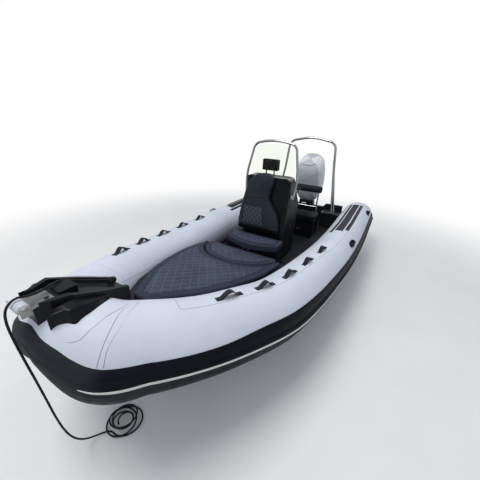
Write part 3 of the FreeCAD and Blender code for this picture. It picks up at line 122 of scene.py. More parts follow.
def closed_grid(rows, cols):
    """Faces of a tube-like grid, with one face across each end."""
    return ring_faces(rows, cols) + [list(range(cols)), list(range((rows - 1) * cols, rows * cols))[::-1]]


def merged(blocks):
    """Points and faces of several closed grids of shape (rows, cols, 3), as one mesh."""
    points, faces, count = [], [], 0
    for block in blocks:
        rows, cols = block.shape[:2]
        points.append(block.reshape(-1, 3))
        faces += [[count + i for i in face] for face in closed_grid(rows, cols)]
        count += rows * cols
    return np.concatenate(points), faces


def dress(piece, body, paint, replaces=()):
    """Gives a new piece its body and finish, and hides the nodes that it stands for."""
    piece.data.materials.clear()
    piece.data.materials.append(PAINTS[paint])
    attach(piece, body)
    if replaces:
        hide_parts(*replaces)
    return piece


def mark_points(mesh, marks):
    for mark, values in marks.items():
        layer = mesh.attributes.new(mark, "FLOAT", "POINT")
        layer.data.foreach_set("value", np.asarray(values, np.float32).ravel())


def bare_piece(name, points, faces, smooth=True):
    """A mesh object from drawing points and faces."""
    mesh = bpy.data.meshes.new(name)
    mesh.from_pydata(in_frame(points).tolist(), [], faces)
    mesh.polygons.foreach_set("use_smooth", np.full(len(mesh.polygons), smooth))
    mesh.update()
    piece = bpy.data.objects.new(name, mesh)
    SCENE.collection.objects.link(piece)
    return piece


def add_piece(name, points, faces, paint, slot, replaces=(), body="boat", marks=None, smooth=True):
    """One mesh piece from drawing points and faces, riding on its body."""
    piece = bare_piece(name, points, faces, smooth)
    mark_points(piece.data, marks or {})
    return dress(piece, body, paint, replaces)


def outward(piece):
    """Turns the faces of a closed mesh outwards."""
    work = bmesh.new()
    work.from_mesh(piece.data)
    bmesh.ops.recalc_face_normals(work, faces=work.faces)
    work.to_mesh(piece.data)
    work.free()
    return piece


def moulded(name, blocks, paint, slot, replaces=(), **more):
    """One piece of closed grids, with its faces turned outwards."""
    return outward(add_piece(name, *merged(blocks), paint, slot, replaces, **more))


def prism(name, outline, rise):
    """A closed slab between an outline in space and the same outline moved by one step."""
    count = len(outline)
    faces = [[i, (i + 1) % count, count + (i + 1) % count, count + i] for i in range(count)]
    faces += [list(range(count))[::-1], list(range(count, 2 * count))]
    return bare_piece(name, np.vstack([outline, outline + rise]), faces)


def square_to(axis):
    """A direction that is safe to cross with an axis."""
    return np.array((0.0, 0.0, 1.0)) if abs(axis[2]) < 0.9 else np.array((1.0, 0.0, 0.0))


def rings_along(path, radius, sides):
    """Rings of a round tube that stand square to a path, turned as little as they can be."""
    tangent = np.gradient(path, axis=0)
    tangent /= np.linalg.norm(tangent, axis=1, keepdims=True)
    normal = np.zeros_like(path)
    seed = square_to(tangent[0])
    for index, way in enumerate(tangent):
        seed = seed - way * (seed @ way)
        seed /= np.linalg.norm(seed)
        normal[index] = seed
    side = np.cross(tangent, normal)
    turn = around(sides)[None, :, None]
    return path[:, None] + (normal[:, None] * np.cos(turn) + side[:, None] * np.sin(turn)) * radius


def turned(profile, start, axis, sides=48):
    """A profile of (run, radius) rows turned about an axis that starts at a place."""
    axis = np.asarray(axis, float) / np.linalg.norm(axis)
    first = np.cross(axis, square_to(axis))
    first /= np.linalg.norm(first)
    second = np.cross(axis, first)
    turn = around(sides)[:, None]
    ring = first[None] * np.cos(turn) + second[None] * np.sin(turn)
    run, radius = np.array(profile, float).T
    return np.asarray(start) + axis * run[:, None, None] + ring[None] * radius[:, None, None]


def eased(x, low, high):
    """0 below low, 1 above high and a smooth step between."""
    t = np.clip((np.asarray(x, float) - low) / (high - low), 0, 1)
    return t * t * (3 - 2 * t)


def run_along(points):
    """Distance from the start at each point of a line."""
    return np.concatenate([[0], np.cumsum(np.linalg.norm(np.diff(points, axis=0), axis=1))])


def curve_through(knots, values, at):
    """Cubic curve through rows of values: each piece starts and ends on the chord slope of its knots."""
    knots = np.asarray(knots, float)
    values = np.asarray(values, float)
    slope = np.gradient(values, knots, axis=0)
    index = np.clip(np.searchsorted(knots, at, side="right") - 1, 0, len(knots) - 2)
    width = knots[index + 1] - knots[index]
    t = ((at - knots[index]) / width)[:, None]
    h = width[:, None]
    return ((2 * t**3 - 3 * t**2 + 1) * values[index] + (t**3 - 2 * t**2 + t) * h * slope[index]
            + (3 * t**2 - 2 * t**3) * values[index + 1] + (t**3 - t**2) * h * slope[index + 1])


def spread(points, gap=0.02, closed=True):
    """Points about gap apart along a line, carried on to its start where it is closed."""
    points = np.asarray(points, float)
    ends = np.roll(points, -1, axis=0) if closed else points[1:]
    parts = []
    for start, end in zip(points, ends):
        steps = max(1, int(round(np.linalg.norm(end - start) / gap)))
        parts.append(start + (end - start) * np.linspace(0, 1, steps, endpoint=False)[:, None])
    return np.concatenate(parts if closed else parts + [points[-1:]])


def around(count):
    """Angles of a full turn in equal steps."""
    return np.linspace(0, FULL_TURN, count, endpoint=False)


def inside_by(places, outline):
    """Distance of plan places from a closed outline, positive inside it."""
    end = np.roll(outline, -1, axis=0)
    nearest = np.full(len(places), 1e9)
    crossings = np.zeros(len(places), int)
    x, y = places[:, 0], places[:, 1]
    for a, b, w in zip(outline, end, end - outline):
        share = np.clip(((places - a) @ w) / (w @ w), 0, 1)
        nearest = np.minimum(nearest, np.linalg.norm(places - a - share[:, None] * w, axis=1))
        spans = (a[1] > y) != (b[1] > y)
        level_y = np.where(spans, y, a[1])
        cut = a[0] + (level_y - a[1]) / (w[1] if abs(w[1]) > 1e-12 else 1e-12) * w[0]
        crossings += spans & (x < cut)
    return np.where(crossings % 2 == 1, nearest, -nearest)


# Shader expressions

class Socket:
    """A shader value; using it in an expression adds Math nodes to its material."""

    def __init__(self, paint, out):
        self.paint = paint
        self.out = out

    def math(self, operation, *others):
        return self.paint.node("ShaderNodeMath", {"operation": operation}, self, *others)

    def __add__(self, other):
        return self.math("ADD", other)

    def __mul__(self, other):
        return self.math("MULTIPLY", other)

    def __sub__(self, other):
        return self.math("SUBTRACT", other)

    def __rsub__(self, other):
        return self.paint.node("ShaderNodeMath", {"operation": "SUBTRACT"}, other, self)

    __radd__ = __add__
    __rmul__ = __mul__

    def step(self, low, high):
        """0 below low and 1 above high, eased between; low may be the larger."""
        settings = {"interpolation_type": "SMOOTHSTEP", "clamp": True}
        ends = (low, high, 0.0, 1.0) if low <= high else (high, low, 1.0, 0.0)
        return self.paint.node("ShaderNodeMapRange", settings, self, *ends)

    def near(self, value, half):
        """1 where the value is met, falling to 0 at half that far on both sides."""
        return (self - value).math("ABSOLUTE").step(half, half * 0.35)


class Paint:
    """A node material under construction."""

    def __init__(self, name, colour, roughness=0.5, **fixed):
        self.colour = colour
        self.material = bpy.data.materials.new(name)
        self.material.use_nodes = True
        self.tree = self.material.node_tree
        self.shader = self.tree.nodes["Principled BSDF"]
        self.put(self.shader.inputs["Base Color"], colour)
        self.put(self.shader.inputs["Roughness"], roughness)
        for socket, value in fixed.items():
            self.put(self.shader.inputs[socket.replace("_", " ")], value)
        self.place = self.node("ShaderNodeTexCoord", {}, output="Object")

    def put(self, socket, value):
        if isinstance(value, Socket):
            self.tree.links.new(value.out, socket)
        elif value is not None:
            if isinstance(value, tuple) and len(value) == 3 and socket.type == "RGBA":
                value = (*value, 1)
            socket.default_value = value

    def node(self, kind, settings, *values, output=0, **named):
        made = self.tree.nodes.new(kind)
        for key, value in settings.items():
            setattr(made, key, value)
        for socket, value in zip(made.inputs, values):
            self.put(socket, value)
        for key, value in named.items():
            self.put(made.inputs[key], value)
        return Socket(self, made.outputs[output])

    def mark(self, name):
        """A number stored on the mesh."""
        return self.node("ShaderNodeAttribute", {"attribute_name": name}, output="Fac")

    def axes(self):
        made = self.node("ShaderNodeSeparateXYZ", {}, self.place)
        return [Socket(self, out) for out in made.out.node.outputs]

    def noise(self, scale, detail=3.0, stretch=None):
        place = self.place
        if stretch:
            place = self.node("ShaderNodeMapping", {}, Vector=self.place, Scale=stretch)
        return self.node("ShaderNodeTexNoise", {}, Vector=place, Scale=scale, Detail=detail, Roughness=0.5)

    def cells(self, scale):
        """Distance to the edge of each of many small cells."""
        return self.node("ShaderNodeTexVoronoi", {"feature": "DISTANCE_TO_EDGE"}, Vector=self.place,
                         Scale=scale, output="Distance")

    def ribs(self, value, pitch):
        """Ridges that repeat at a pitch: 0 between them and 1 on top."""
        return (value * (math.pi / pitch)).math("SINE").math("ABSOLUTE")

    def mix(self, share, first, second):
        """Colour mix of two colours or colour sockets."""
        made = self.node("ShaderNodeMix", {"data_type": "RGBA"}, share, output=2)
        self.put(made.out.node.inputs[6], first)
        self.put(made.out.node.inputs[7], second)
        return made

    def shades(self, share, dark, light):
        """The paint's own colour between two shades of itself."""
        return self.mix(share, fade(self.colour, dark), fade(self.colour, light))

    def cloudy(self, scale, detail, low, dark, light, high=0.8):
        return self.shades(self.noise(scale, detail).step(low, high), dark, light)

    def drift(self, scale, detail, low, span, base):
        """Roughness that wanders over the surface by a span above its base."""
        return self.noise(scale, detail).step(low, 0.8) * span + base

    def done(self, tone, height=None, distance=0.001, strength=1.0, rough=None):
        """Connects what changes over the surface and gives the finished material."""
        self.put(self.shader.inputs["Base Color"], tone)
        self.put(self.shader.inputs["Roughness"], rough)
        if height is not None:
            bump = self.node("ShaderNodeBump", {}, Strength=strength, Distance=distance, Height=height,
                             output="Normal")
            self.put(self.shader.inputs["Normal"], bump)
        return self.material


def fade(colour, factor):
    return tuple(channel * factor for channel in colour)


SEAM_NAMES = ("strap_seam", "inner_seam", "bow_seam_a", "bow_seam_b", "bow_seam_c")
SEAM_HALF = 0.0026


def collar_cloth():
    """Light grey coated fabric: faint cloudy tone, fine grain, thin glued seams."""
    paint = Paint("collar_cloth", (0.530, 0.570, 0.655), 0.5, Specular_IOR_Level=0.4)
    tone = paint.cloudy(2.2, 4.0, 0.3, 0.94, 1.04, 0.75)
    lines = paint.mark(SEAM_NAMES[0]).near(0.0, SEAM_HALF)
    for name in SEAM_NAMES[1:]:
        lines = lines.math("MAXIMUM", paint.mark(name).near(0.0, SEAM_HALF))
    tone = paint.mix(lines * 0.8, tone, (0.12, 0.125, 0.14))
    tone = paint.mix(paint.noise(14.0, 5.0).step(0.55, 0.8) * 0.10, tone, (0.36, 0.37, 0.37))
    grain = paint.cells(620.0) * 0.25 + paint.noise(260.0, 2.0) * 0.3
    return paint.done(tone, grain - lines * 1.6, 0.0006, 0.5, paint.drift(40.0, 3.0, 0.2, 0.12, 0.44))


def band_rubber():
    """Navy-black rub band, charcoal on the flat front of the bow."""
    paint = Paint("band_rubber", (0.0035, 0.0048, 0.0085), 0.42, Specular_IOR_Level=0.07)
    front = paint.mark("front")
    tone = paint.mix(front, paint.colour, (0.018, 0.021, 0.025))
    tone = paint.mix(paint.noise(6.0, 5.0).step(0.45, 0.85) * 0.25, tone, (0.020, 0.022, 0.027))
    grain = paint.cells(480.0) * 0.4 + paint.noise(70.0) * 0.4
    return paint.done(tone, grain, 0.0006, 0.5, paint.drift(22.0, 3.0, 0.2, 0.14, 0.36) + front * 0.12)


def plain_rubber():
    paint = Paint("moulded_rubber", (0.006, 0.006, 0.0075), 0.55, Specular_IOR_Level=0.2)
    grain = paint.cells(500.0) * 0.4 + paint.noise(120.0, 2.0) * 0.4
    return paint.done(paint.cloudy(9.0, 4.0, 0.35, 0.85, 1.5), grain, 0.0007, 0.5)


def stripe_insert():
    paint = Paint("stripe_insert", (0.62, 0.62, 0.585), 0.4)
    return paint.done(paint.cloudy(5.0, 4.0, 0.3, 0.9, 1), paint.noise(300.0, 2.0), 0.0003, 0.4)


def webbing():
    """Woven strap: ribs across it and a finer rib along it, from its own run and width marks; the rib tops
    are painted lighter as a highlight and the dips darker as painted shade.
    """
    paint = Paint("webbing", (0.0085, 0.0095, 0.013), 0.7, Specular_IOR_Level=0.2, Sheen_Weight=0.06)
    width = paint.mark("width")
    rib = paint.ribs(paint.mark("run"), 0.0020)
    cross = paint.ribs(width, 0.0028)
    stitched = width.math("ABSOLUTE").near(0.017, 0.0012)
    height = rib * 0.6 + cross * 0.4 - stitched * 0.8
    # painted light: the tone follows the ribs, with a painted highlight on their tops and painted shade
    # between them
    return paint.done(paint.shades(rib * cross, 0.7, 1.9), height, 0.0009, 0.7)


def leather(name, colour):
    """Cloudy tone, grain and roughness that every upholstery paint starts from."""
    paint = Paint(name, colour, 0.48, Specular_IOR_Level=0.08)
    grain = paint.cells(420.0).math("MINIMUM", 0.5) * 0.5 + paint.noise(900.0, 2.0) * 0.2
    return paint, paint.cloudy(5.0, 4.0, 0.3, 0.86, 1.2), grain, paint.drift(30.0, 3.0, 0.2, 0.14, 0.40)


def marine_vinyl(name, colour):
    paint, tone, grain, rough = leather(name, colour)
    return paint.done(tone, grain, 0.0010, 0.6, rough)


def quilted_vinyl(name, cell, colour, seams=False):
    """Coated cloth stitched in diamonds where its inset mark is above 0, with a seam round them."""
    paint, tone, grain, rough = leather(name, colour)
    ways = [paint.mark("quilt_a"), paint.mark("quilt_b")]
    inset = paint.mark("inset")
    tone = paint.mix(inset.step(0.002, -0.002), tone, fade(colour, 0.62))
    off = [((way + 0.5).math("FRACT") - 0.5).math("ABSOLUTE") for way in ways]
    lines = (off[0].math("MINIMUM", off[1]) * cell).step(0.0028, 0.0010) * inset.step(0.0, 0.004)
    dash = ((ways[0] + ways[1]) * (math.pi * cell / 0.006)).math("SINE").step(-0.5, 0.3)
    tone = paint.mix(lines * dash * 0.65, tone, (0.19, 0.21, 0.26))
    if seams:
        border = paint.mark("seam").near(0.0, 0.0030)
        tone = paint.mix(paint.mark("low").step(-0.004, 0.004) * 0.95, tone, (0.003, 0.003, 0.004))
    else:
        border = inset.near(0.0, 0.0035).math("MAXIMUM", paint.mark("edge").near(0.010, 0.0022) * 0.7)
    tone = paint.mix(border * 0.6, tone, (0.005, 0.006, 0.008))
    return paint.done(tone, grain - lines * 1.2 - border * 2.0, 0.0010, 0.6, rough)


def gloss_moulding(name, colour, roughness):
    """Polished black moulding with a faint orange peel, dust and hairline scratches."""
    paint = Paint(name, colour, roughness, Specular_IOR_Level=0.12, Coat_Weight=0.03, Coat_Roughness=0.08)
    dust = paint.noise(7.0, 6.0).step(0.5, 0.8)
    scratch = paint.noise(60.0, 3.0, (1, 9, 1)).step(0.62, 0.7)
    return paint.done(paint.mix(dust * 0.4, colour, (0.016, 0.017, 0.020)),
                      paint.noise(55.0, 2.0) + scratch * 0.15, 0.0004, 0.35,
                      dust * 0.16 + scratch * 0.10 + roughness)


def stainless():
    paint = Paint("stainless", (0.40, 0.405, 0.41), 0.14, Metallic=1.0)
    return paint.done(paint.cloudy(9.0, 5.0, 0.4, 1, 0.82), paint.noise(400.0, 2.0, (1, 1, 0.1)),
                      0.0002, 0.25, paint.drift(35.0, 4.0, 0.3, 0.12, 0.10))


def clear_acrylic():
    """Clear sheet with a yellow-green tint: what is behind it keeps its place."""
    paint = Paint("clear_acrylic", (0.93, 0.955, 0.86), 0.03, Transmission_Weight=1.0, IOR=1.08)
    return paint.done(None, paint.noise(6.0, 2.0), 0.0006, 0.2)


def screen_glass():
    """Dark glass with dust on it."""
    paint = Paint("screen_glass", (0.004, 0.005, 0.007), 0.06, Coat_Weight=0.6, Coat_Roughness=0.03)
    dust = paint.noise(30.0, 5.0).step(0.55, 0.85)
    return paint.done(paint.mix(dust * 0.3, paint.colour, (0.03, 0.032, 0.036)), rough=dust * 0.2 + 0.05)


def cover_cloth():
    """Light cover cloth: plain weave, side panels between seams painted whiter as a painted highlight for
    the sunlit side, a hem and a faint stain.
    """
    paint = Paint("cover_cloth", (0.400, 0.425, 0.475), 0.78, Sheen_Weight=0.2)
    x, y, z = paint.axes()
    weave = ((x + y) * 2600.0).math("SINE") * ((z + y) * 2600.0).math("SINE")
    panel = paint.mark("panel")
    # painted highlight: the side panels between the seams are painted whiter, standing in for the sunlit
    # side of the cover
    tone = paint.mix(panel.step(-0.4, 0.4), paint.colour, (0.64, 0.655, 0.685))
    tone = paint.mix(paint.noise(4.0, 5.0).step(0.35, 0.8) * 0.35, tone, fade(paint.colour, 1.05))
    seam = panel.near(0.0, 0.7).math("MAXIMUM", paint.mark("hem").near(0.0, 0.0035))
    return paint.done(paint.mix(seam * 0.65, tone, (0.10, 0.105, 0.12)),
                      weave * 0.3 + paint.noise(50.0) * 0.6 - seam * 2.5, 0.0009, 0.6)


def rope_paint(name, strands):
    """Braided line; strands gives the height of its strands from the paint, and the strand tops are
    painted lighter as highlights and the grooves darker as painted shade.
    """
    paint = Paint(name, (0.0065, 0.0065, 0.008), 0.75, Specular_IOR_Level=0.2, Sheen_Weight=0.08)
    strand = strands(paint)
    # painted light: the tone follows the strand height, with a painted highlight on the strand tops and
    # painted shade in the grooves
    return paint.done(paint.shades(strand.step(-0.2, 1.0), 0.5, 1.7), strand, 0.0012, 0.8)


def braid(paint):
    """Strands that cross each other along the rope."""
    run, turn = paint.mark("run") * 110.0, paint.mark("turn") * 4.0
    return ((run + turn) * FULL_TURN).math("SINE").math("MAXIMUM", ((run - turn) * FULL_TURN).math("SINE"))


def slanted(paint):
    """The same strands seen from their side in a knot."""
    x, y, z = paint.axes()
    return ((x * 0.8 + y + z * 1.3) * 900.0).math("SINE")


def deck_grip():
    paint = Paint("deck_grip", (0.014, 0.016, 0.021), 0.7, Specular_IOR_Level=0.2)
    return paint.done(paint.cloudy(3.0, 5.0, 0.3, 0.85, 1.35),
                      paint.cells(230.0).step(0.05, 0.35) + paint.noise(500.0) * 0.3, 0.0012, 0.7)


def tread_rubber():
    """Ribbed anti-slip strip: rows of small bars across it, the bar tops painted lighter as a highlight
    and the grooves darker as painted shade.
    """
    paint = Paint("tread_rubber", (0.016, 0.018, 0.023), 0.65, Specular_IOR_Level=0.2)
    rows = paint.ribs(paint.axes()[1], 0.006)
    # painted light: bar tops are painted lighter as a highlight and the grooves between them darker as
    # painted shade
    return paint.done(paint.shades(rows, 0.55, 1.4), rows + paint.noise(300.0) * 0.2, 0.0012, 0.7)


def satin_paint(name, colour, roughness):
    paint = Paint(name, colour, roughness, Specular_IOR_Level=0.3, Coat_Weight=0.1)
    return paint.done(paint.cloudy(8.0, 5.0, 0.4, 1, 1.4), paint.noise(160.0), 0.0004, 0.4,
                      paint.drift(30.0, 4.0, 0.3, 0.15, roughness))


def worn_plate():
    """Steel plate dulled by weather: pale blooms and fine scratches along it."""
    paint = Paint("worn_plate", (0.30, 0.30, 0.295), 0.3, Metallic=1.0)
    bloom = paint.noise(22.0, 6.0).step(0.45, 0.75)
    scratch = paint.noise(90.0, 3.0, (6, 1, 1)).step(0.6, 0.72)
    return paint.done(paint.mix(bloom * 0.7, paint.colour, (0.17, 0.17, 0.165)),
                      scratch * 0.4 + bloom * 0.2, 0.0003, 0.4, bloom * 0.25 + scratch * 0.15 + 0.30)


PAINTS = {
    "collar": collar_cloth(),
    "band": band_rubber(),
    "stripe": stripe_insert(),
    "webbing": webbing(),
    "rubber": plain_rubber(),
    "tread": tread_rubber(),
    "quilted": quilted_vinyl("quilted_vinyl", FLAT_CELL, (0.040, 0.052, 0.078)),
    "backrest": quilted_vinyl("backrest_vinyl", BACK_CELL, (0.032, 0.038, 0.050), seams=True),
    "vinyl": marine_vinyl("plain_vinyl", (0.012, 0.014, 0.020)),
    "seat": marine_vinyl("seat_vinyl", (0.006, 0.0065, 0.009)),
    "moulding": gloss_moulding("gloss_moulding", (0.0048, 0.0052, 0.0066), 0.22),
    "step": gloss_moulding("satin_moulding", (0.0065, 0.007, 0.009), 0.34),
    "gelcoat": gloss_moulding("dark_gelcoat", (0.009, 0.010, 0.013), 0.28),
    "steel": stainless(),
    "plate": worn_plate(),
    "glass": screen_glass(),
    "acrylic": clear_acrylic(),
    "cover": cover_cloth(),
    "rope": rope_paint("rope_braid", braid),
    "rope_knot": rope_paint("rope_knot", slanted),
    "deck": deck_grip(),
    "engine": satin_paint("engine_paint", (0.012, 0.013, 0.016), 0.35),
    "alloy": satin_paint("propeller_paint", (0.026, 0.026, 0.029), 0.3),
    "roller": satin_paint("roller_plastic", (0.48, 0.52, 0.56), 0.5),
}


# Collar

def collar_line():
    """Stations of the port tube, stern to stem, with outward and upward directions."""
    both = np.vstack([COLLAR, COLLAR[-2::-1] * (1, -1, 1, 1, 1, 1)])
    knots = run_along(both[:, [1, 0, 2]])
    share = np.linspace(0, 1, 210)
    at = knots[len(COLLAR) - 1] * (1 - (1 - share) ** 1.45)
    rows = curve_through(knots, both, at)
    ahead = curve_through(knots, both, np.minimum(at + 1e-3, knots[-1]))
    tangent = (ahead - rows)[:, [1, 0, 2]]
    tangent /= np.linalg.norm(tangent, axis=1, keepdims=True)
    tangent[-1] = (-1, 0, 0)
    out = np.cross(tangent, (0, 0, 1))
    out /= np.linalg.norm(out, axis=1, keepdims=True)
    out *= np.where((out[:, :1] < 0) | ((np.abs(out[:, :1]) < 1e-6) & (out[:, 1:2] > 0)), -1, 1)
    up = np.cross(out, tangent)
    up *= np.where(up[:, 2:3] < 0, -1, 1)
    centre = rows[:, [1, 0, 2]]
    centre[-1, 0] = 0.0
    return {"centre": centre, "out": out, "up": up, "radius": rows[:, 3], "band_top": rows[:, 4],
            "bulge": rows[:, 5], "run": run_along(centre)}


LINE = collar_line()
STEM_RUN = LINE["run"][-1]


def run_of(y):
    """Run along the tube at a station across the boat's length."""
    return float(np.interp(-y, -LINE["centre"][:, 1], LINE["run"]))


def on_collar(run, degrees, height):
    """Places over the port tube: run along it, angle above its outer side, height off its skin."""
    run, degrees, height = np.broadcast_arrays(*[np.asarray(v, float) for v in (run, degrees, height)])

    def along(key):
        return np.stack([np.interp(run.ravel(), LINE["run"], column) for column in LINE[key].T], -1)

    out, up = [rows / np.linalg.norm(rows, axis=1, keepdims=True) for rows in (along("out"), along("up"))]
    radius = np.interp(run.ravel(), LINE["run"], LINE["radius"])
    angle = np.radians(degrees.ravel())[:, None]
    way = out * np.cos(angle) + up * np.sin(angle)
    place = along("centre") + way * (radius + height.ravel())[:, None]
    return place.reshape(run.shape + (3,))


def mirror_x(points):
    return np.asarray(points) * (-1, 1, 1)


def both_halves(port, mirrored=True):
    """Rows of the port half carried on past the stem to the starboard stern."""
    far = port[-2::-1]
    return np.concatenate([port, mirror_x(far) if mirrored else far])


def unfolded(points):
    """Pushes port places that lie inside the tube out to its skin, and stops them at the middle."""
    flat = points.reshape(-1, 3).copy()
    centre, radius = LINE["centre"], LINE["radius"]
    crossed = flat[:, 0] < 0
    flat[crossed, 0] = 0.0
    for _ in range(2):
        gap = np.linalg.norm(flat[:, None] - centre[None], axis=2) - radius[None]
        nearest = np.argmin(gap, axis=1)
        deep = np.take_along_axis(gap, nearest[:, None], 1)[:, 0] < -2e-4
        c, r = centre[nearest], radius[nearest]
        way = flat - c
        in_plane = way * (0, 1, 1)
        reach = np.sqrt(np.maximum(r ** 2 - c[:, 0] ** 2, 1e-8))[:, None]
        to_seam = c * (0, 1, 1) + in_plane / np.linalg.norm(in_plane, axis=1, keepdims=True) * reach
        to_skin = c + way / np.linalg.norm(way, axis=1, keepdims=True) * r[:, None]
        on_middle = crossed | (to_skin[:, 0] < 0)
        flat = np.where(deep[:, None], np.where(on_middle[:, None], to_seam, to_skin), flat)
        flat[:, 0] = np.maximum(flat[:, 0], 0.0)
        crossed = crossed | on_middle & deep
    return flat.reshape(points.shape)


# Glued seams as rows of (distance back from the stem, angle), and round the bow the other way about
SEAM_RADIUS = 0.28
STRAP_SEAM = ((0.0, 82.0), (1.8, 82.0), (2.2, 80.0), (3.2, 73.0), (5.5, 70.0))
STRAP_SEAM_START = 0.655
INNER_SEAM = ((0.0, 140.0), (0.66, 149.0), (1.07, 155.0), (1.5, 159.0), (5.5, 162.0))
BOW_SEAMS = (
    ((39.5, 0.093), (41.5, 0.110), (45.5, 0.126), (61.5, 0.143), (73.5, 0.160), (86.0, 0.177),
     (100.0, 0.203), (110.5, 0.238), (125.0, 0.412), (140.0, 0.50)),
    ((25.0, 0.253), (50.0, 0.227), (66.0, 0.217), (80.0, 0.212), (92.5, 0.215), (103.5, 0.245),
     (113.0, 0.38), (130.0, 0.50)),
    ((25.0, 0.278), (50.0, 0.253), (66.0, 0.262), (76.0, 0.290), (85.0, 0.350), (96.0, 0.404),
     (113.0, 0.446), (130.0, 0.53)),
)


def ended(distance, beyond):
    """Keeps a signed distance where beyond is below 0 and pushes it off its line where it is above."""
    return distance + np.where(distance < 0, -1, 1) * np.maximum(beyond, 0) * 40


def seam_marks(run, degrees):
    """Signed distances from the glued seams: beside the straps, on the inner face and round the bow."""
    back = STEM_RUN - run
    metres = np.radians(degrees) * SEAM_RADIUS
    below = np.radians(np.interp(back, *np.array(STRAP_SEAM).T)) * SEAM_RADIUS - metres
    ahead = STRAP_SEAM_START - back
    corner = (ahead + below) / math.sqrt(2) + 0.010
    strap_seam = np.maximum(np.maximum(ahead, below), corner)
    inner = metres - np.radians(np.interp(back, *np.array(INNER_SEAM).T)) * SEAM_RADIUS
    found = [ended(strap_seam, (degrees - 150) * 0.005), ended(inner, 0.60 - back)]
    for points in BOW_SEAMS:
        angles, places = np.array(points).T
        line = curve_through(angles, places[:, None], np.clip(degrees, angles[0], angles[-1]).ravel())
        limit = np.maximum(angles[0] - degrees, degrees - angles[-1]) * 0.005
        found.append(ended(line.reshape(run.shape) - back, limit))
    return {name: both_halves(values, False) for name, values in zip(SEAM_NAMES, found)}


def collar_skin():
    """One closed skin: a circle carried along the centre line, unfolded inside the bow."""
    run, turn = np.meshgrid(LINE["run"], np.linspace(-90, 270, 220, endpoint=False), indexing="ij")
    port = unfolded(on_collar(run, turn, 0.0))
    port[-1, :, 0] = 0.0
    add_piece("collar_skin", *merged([both_halves(port)]), "collar", "collar_fabric",
              ("collar_port", "collar_starboard", "collar_bow"), marks=seam_marks(run, turn))


def band_profile(top, bulge):
    """Angles and heights of the rub band's section: rounded bulge above, flat rail, thin skirt below."""
    lift = BAND_EDGE
    share = np.linspace(0, 1, 12)
    swell = lift + (bulge - lift) * share + max(bulge - lift, 0.004) * 0.45 * np.sin(share * math.pi)
    rows = [(top + 0.3, -0.002), (top + 0.1, lift * 0.6), *zip(top - 0.4 + (9.2 - top) * share, swell)]
    rows += [(7.4, bulge + 0.002), (6.4, RAIL_PROUD * 0.88), (5.4, RAIL_PROUD - 0.0004),
             (2.0, RAIL_PROUD), (-2.0, RAIL_PROUD), (-5.4, RAIL_PROUD - 0.0004),
             (-6.4, RAIL_PROUD * 0.88), (-7.6, bulge + 0.002)]
    share = np.linspace(0, 1, 16)
    swell = bulge + (lift - bulge) * share + max(bulge - lift, 0.0) * 0.35 * np.sin(share * math.pi)
    rows += zip(-9.0 + (BAND_LOW_DEG + 10.0) * share, swell)
    return rows + [(BAND_LOW_DEG + 0.2, lift * 0.6), (BAND_LOW_DEG - 0.1, -0.002)]


def rub_band():
    """The band's section carried round the whole collar."""
    sections = np.array([band_profile(*pair) for pair in zip(LINE["band_top"], LINE["bulge"])])
    run = np.repeat(LINE["run"][:, None], sections.shape[1], 1)
    port = on_collar(run, sections[..., 0], sections[..., 1])
    port[-1, :, 0] = 0.0
    front = both_halves(1 - eased(STEM_RUN - run, 0.22, 0.30), False)
    moulded("rub_band_skin", [both_halves(port)], "band", "rubber_black",
            ("rub_band_port", "rub_band_starboard", "rub_band_bow"), marks={"front": front})


STRIPE_HALF_DEG = 1.75


def stripes():
    """Cream insert on the rail of each side, drawn to a point near the bow corner."""
    end = STEM_RUN - STRIPE_END
    runs = np.concatenate([np.linspace(0.002, end - 0.45, 90), np.linspace(end - 0.44, end, 60)])[:, None]
    half = STRIPE_HALF_DEG * np.sqrt(np.clip((end - runs) / 0.10, 0.0004, 1))
    across = np.array((-1.0, -0.93, -0.5, 0.0, 0.5, 0.93, 1.0))
    lift = RAIL_PROUD + np.array((-0.001, 0.0018, 0.0028, 0.0031, 0.0028, 0.0018, -0.001))
    points = on_collar(runs, half * across[None], lift[None])
    moulded("rail_stripe_pair", [points, mirror_x(points)], "stripe", "stripe_cream", ("rail_stripes",))


STRAP_HALF = 0.120
STRAP_FOOT = 0.078
STRAP_RISE = 0.045
STRAP_WIDE = 0.044
STRAP_THICK = 0.0042
STRAP_SECTION = ((-0.5, 0.3), (-0.47, 0.0), (-0.2, 0.0), (0.2, 0.0), (0.47, 0.0), (0.5, 0.3), (0.5, 0.7),
                 (0.47, 1.0), (0.2, 1.0), (-0.2, 1.0), (-0.47, 1.0), (-0.5, 0.7))


def straps():
    """Webbing loops: two feet that hug the tube, and a bridge of a raised cosine between them."""
    foot = np.linspace(STRAP_FOOT, STRAP_HALF, 6)[1:]
    ahead = np.concatenate([-foot[::-1], np.linspace(-STRAP_FOOT, STRAP_FOOT, 33), foot])
    bell = np.where(np.abs(ahead) < STRAP_FOOT, 0.5 * (1 + np.cos(math.pi * ahead / STRAP_FOOT)), 0)
    wide, skin = np.array(STRAP_SECTION).T
    run, across = np.meshgrid(ahead, wide * STRAP_WIDE, indexing="ij")
    height = 0.0008 + (STRAP_RISE * bell ** 0.62)[:, None] + skin[None] * STRAP_THICK
    places = [on_collar(run_of(y) + run, 90 + np.degrees(across / TUBE_RADIUS), height) for y in STRAP_Y]
    marks = {"run": np.tile(run.ravel(), len(places)), "width": np.tile(across.ravel(), len(places))}
    for side, flip in (("port", 1), ("starboard", -1)):
        moulded("webbing_straps_" + side, [place * (flip, 1, 1) for place in places], "webbing",
                "rubber_black", ("grab_straps_" + side,), marks=marks)


GRIP_LENGTH = 0.115
GRIP_WIDE = 0.042
GRIP_BAR = 0.098
GRIP_BAR_HALF = 0.0135
GRIP_RISE = 0.036


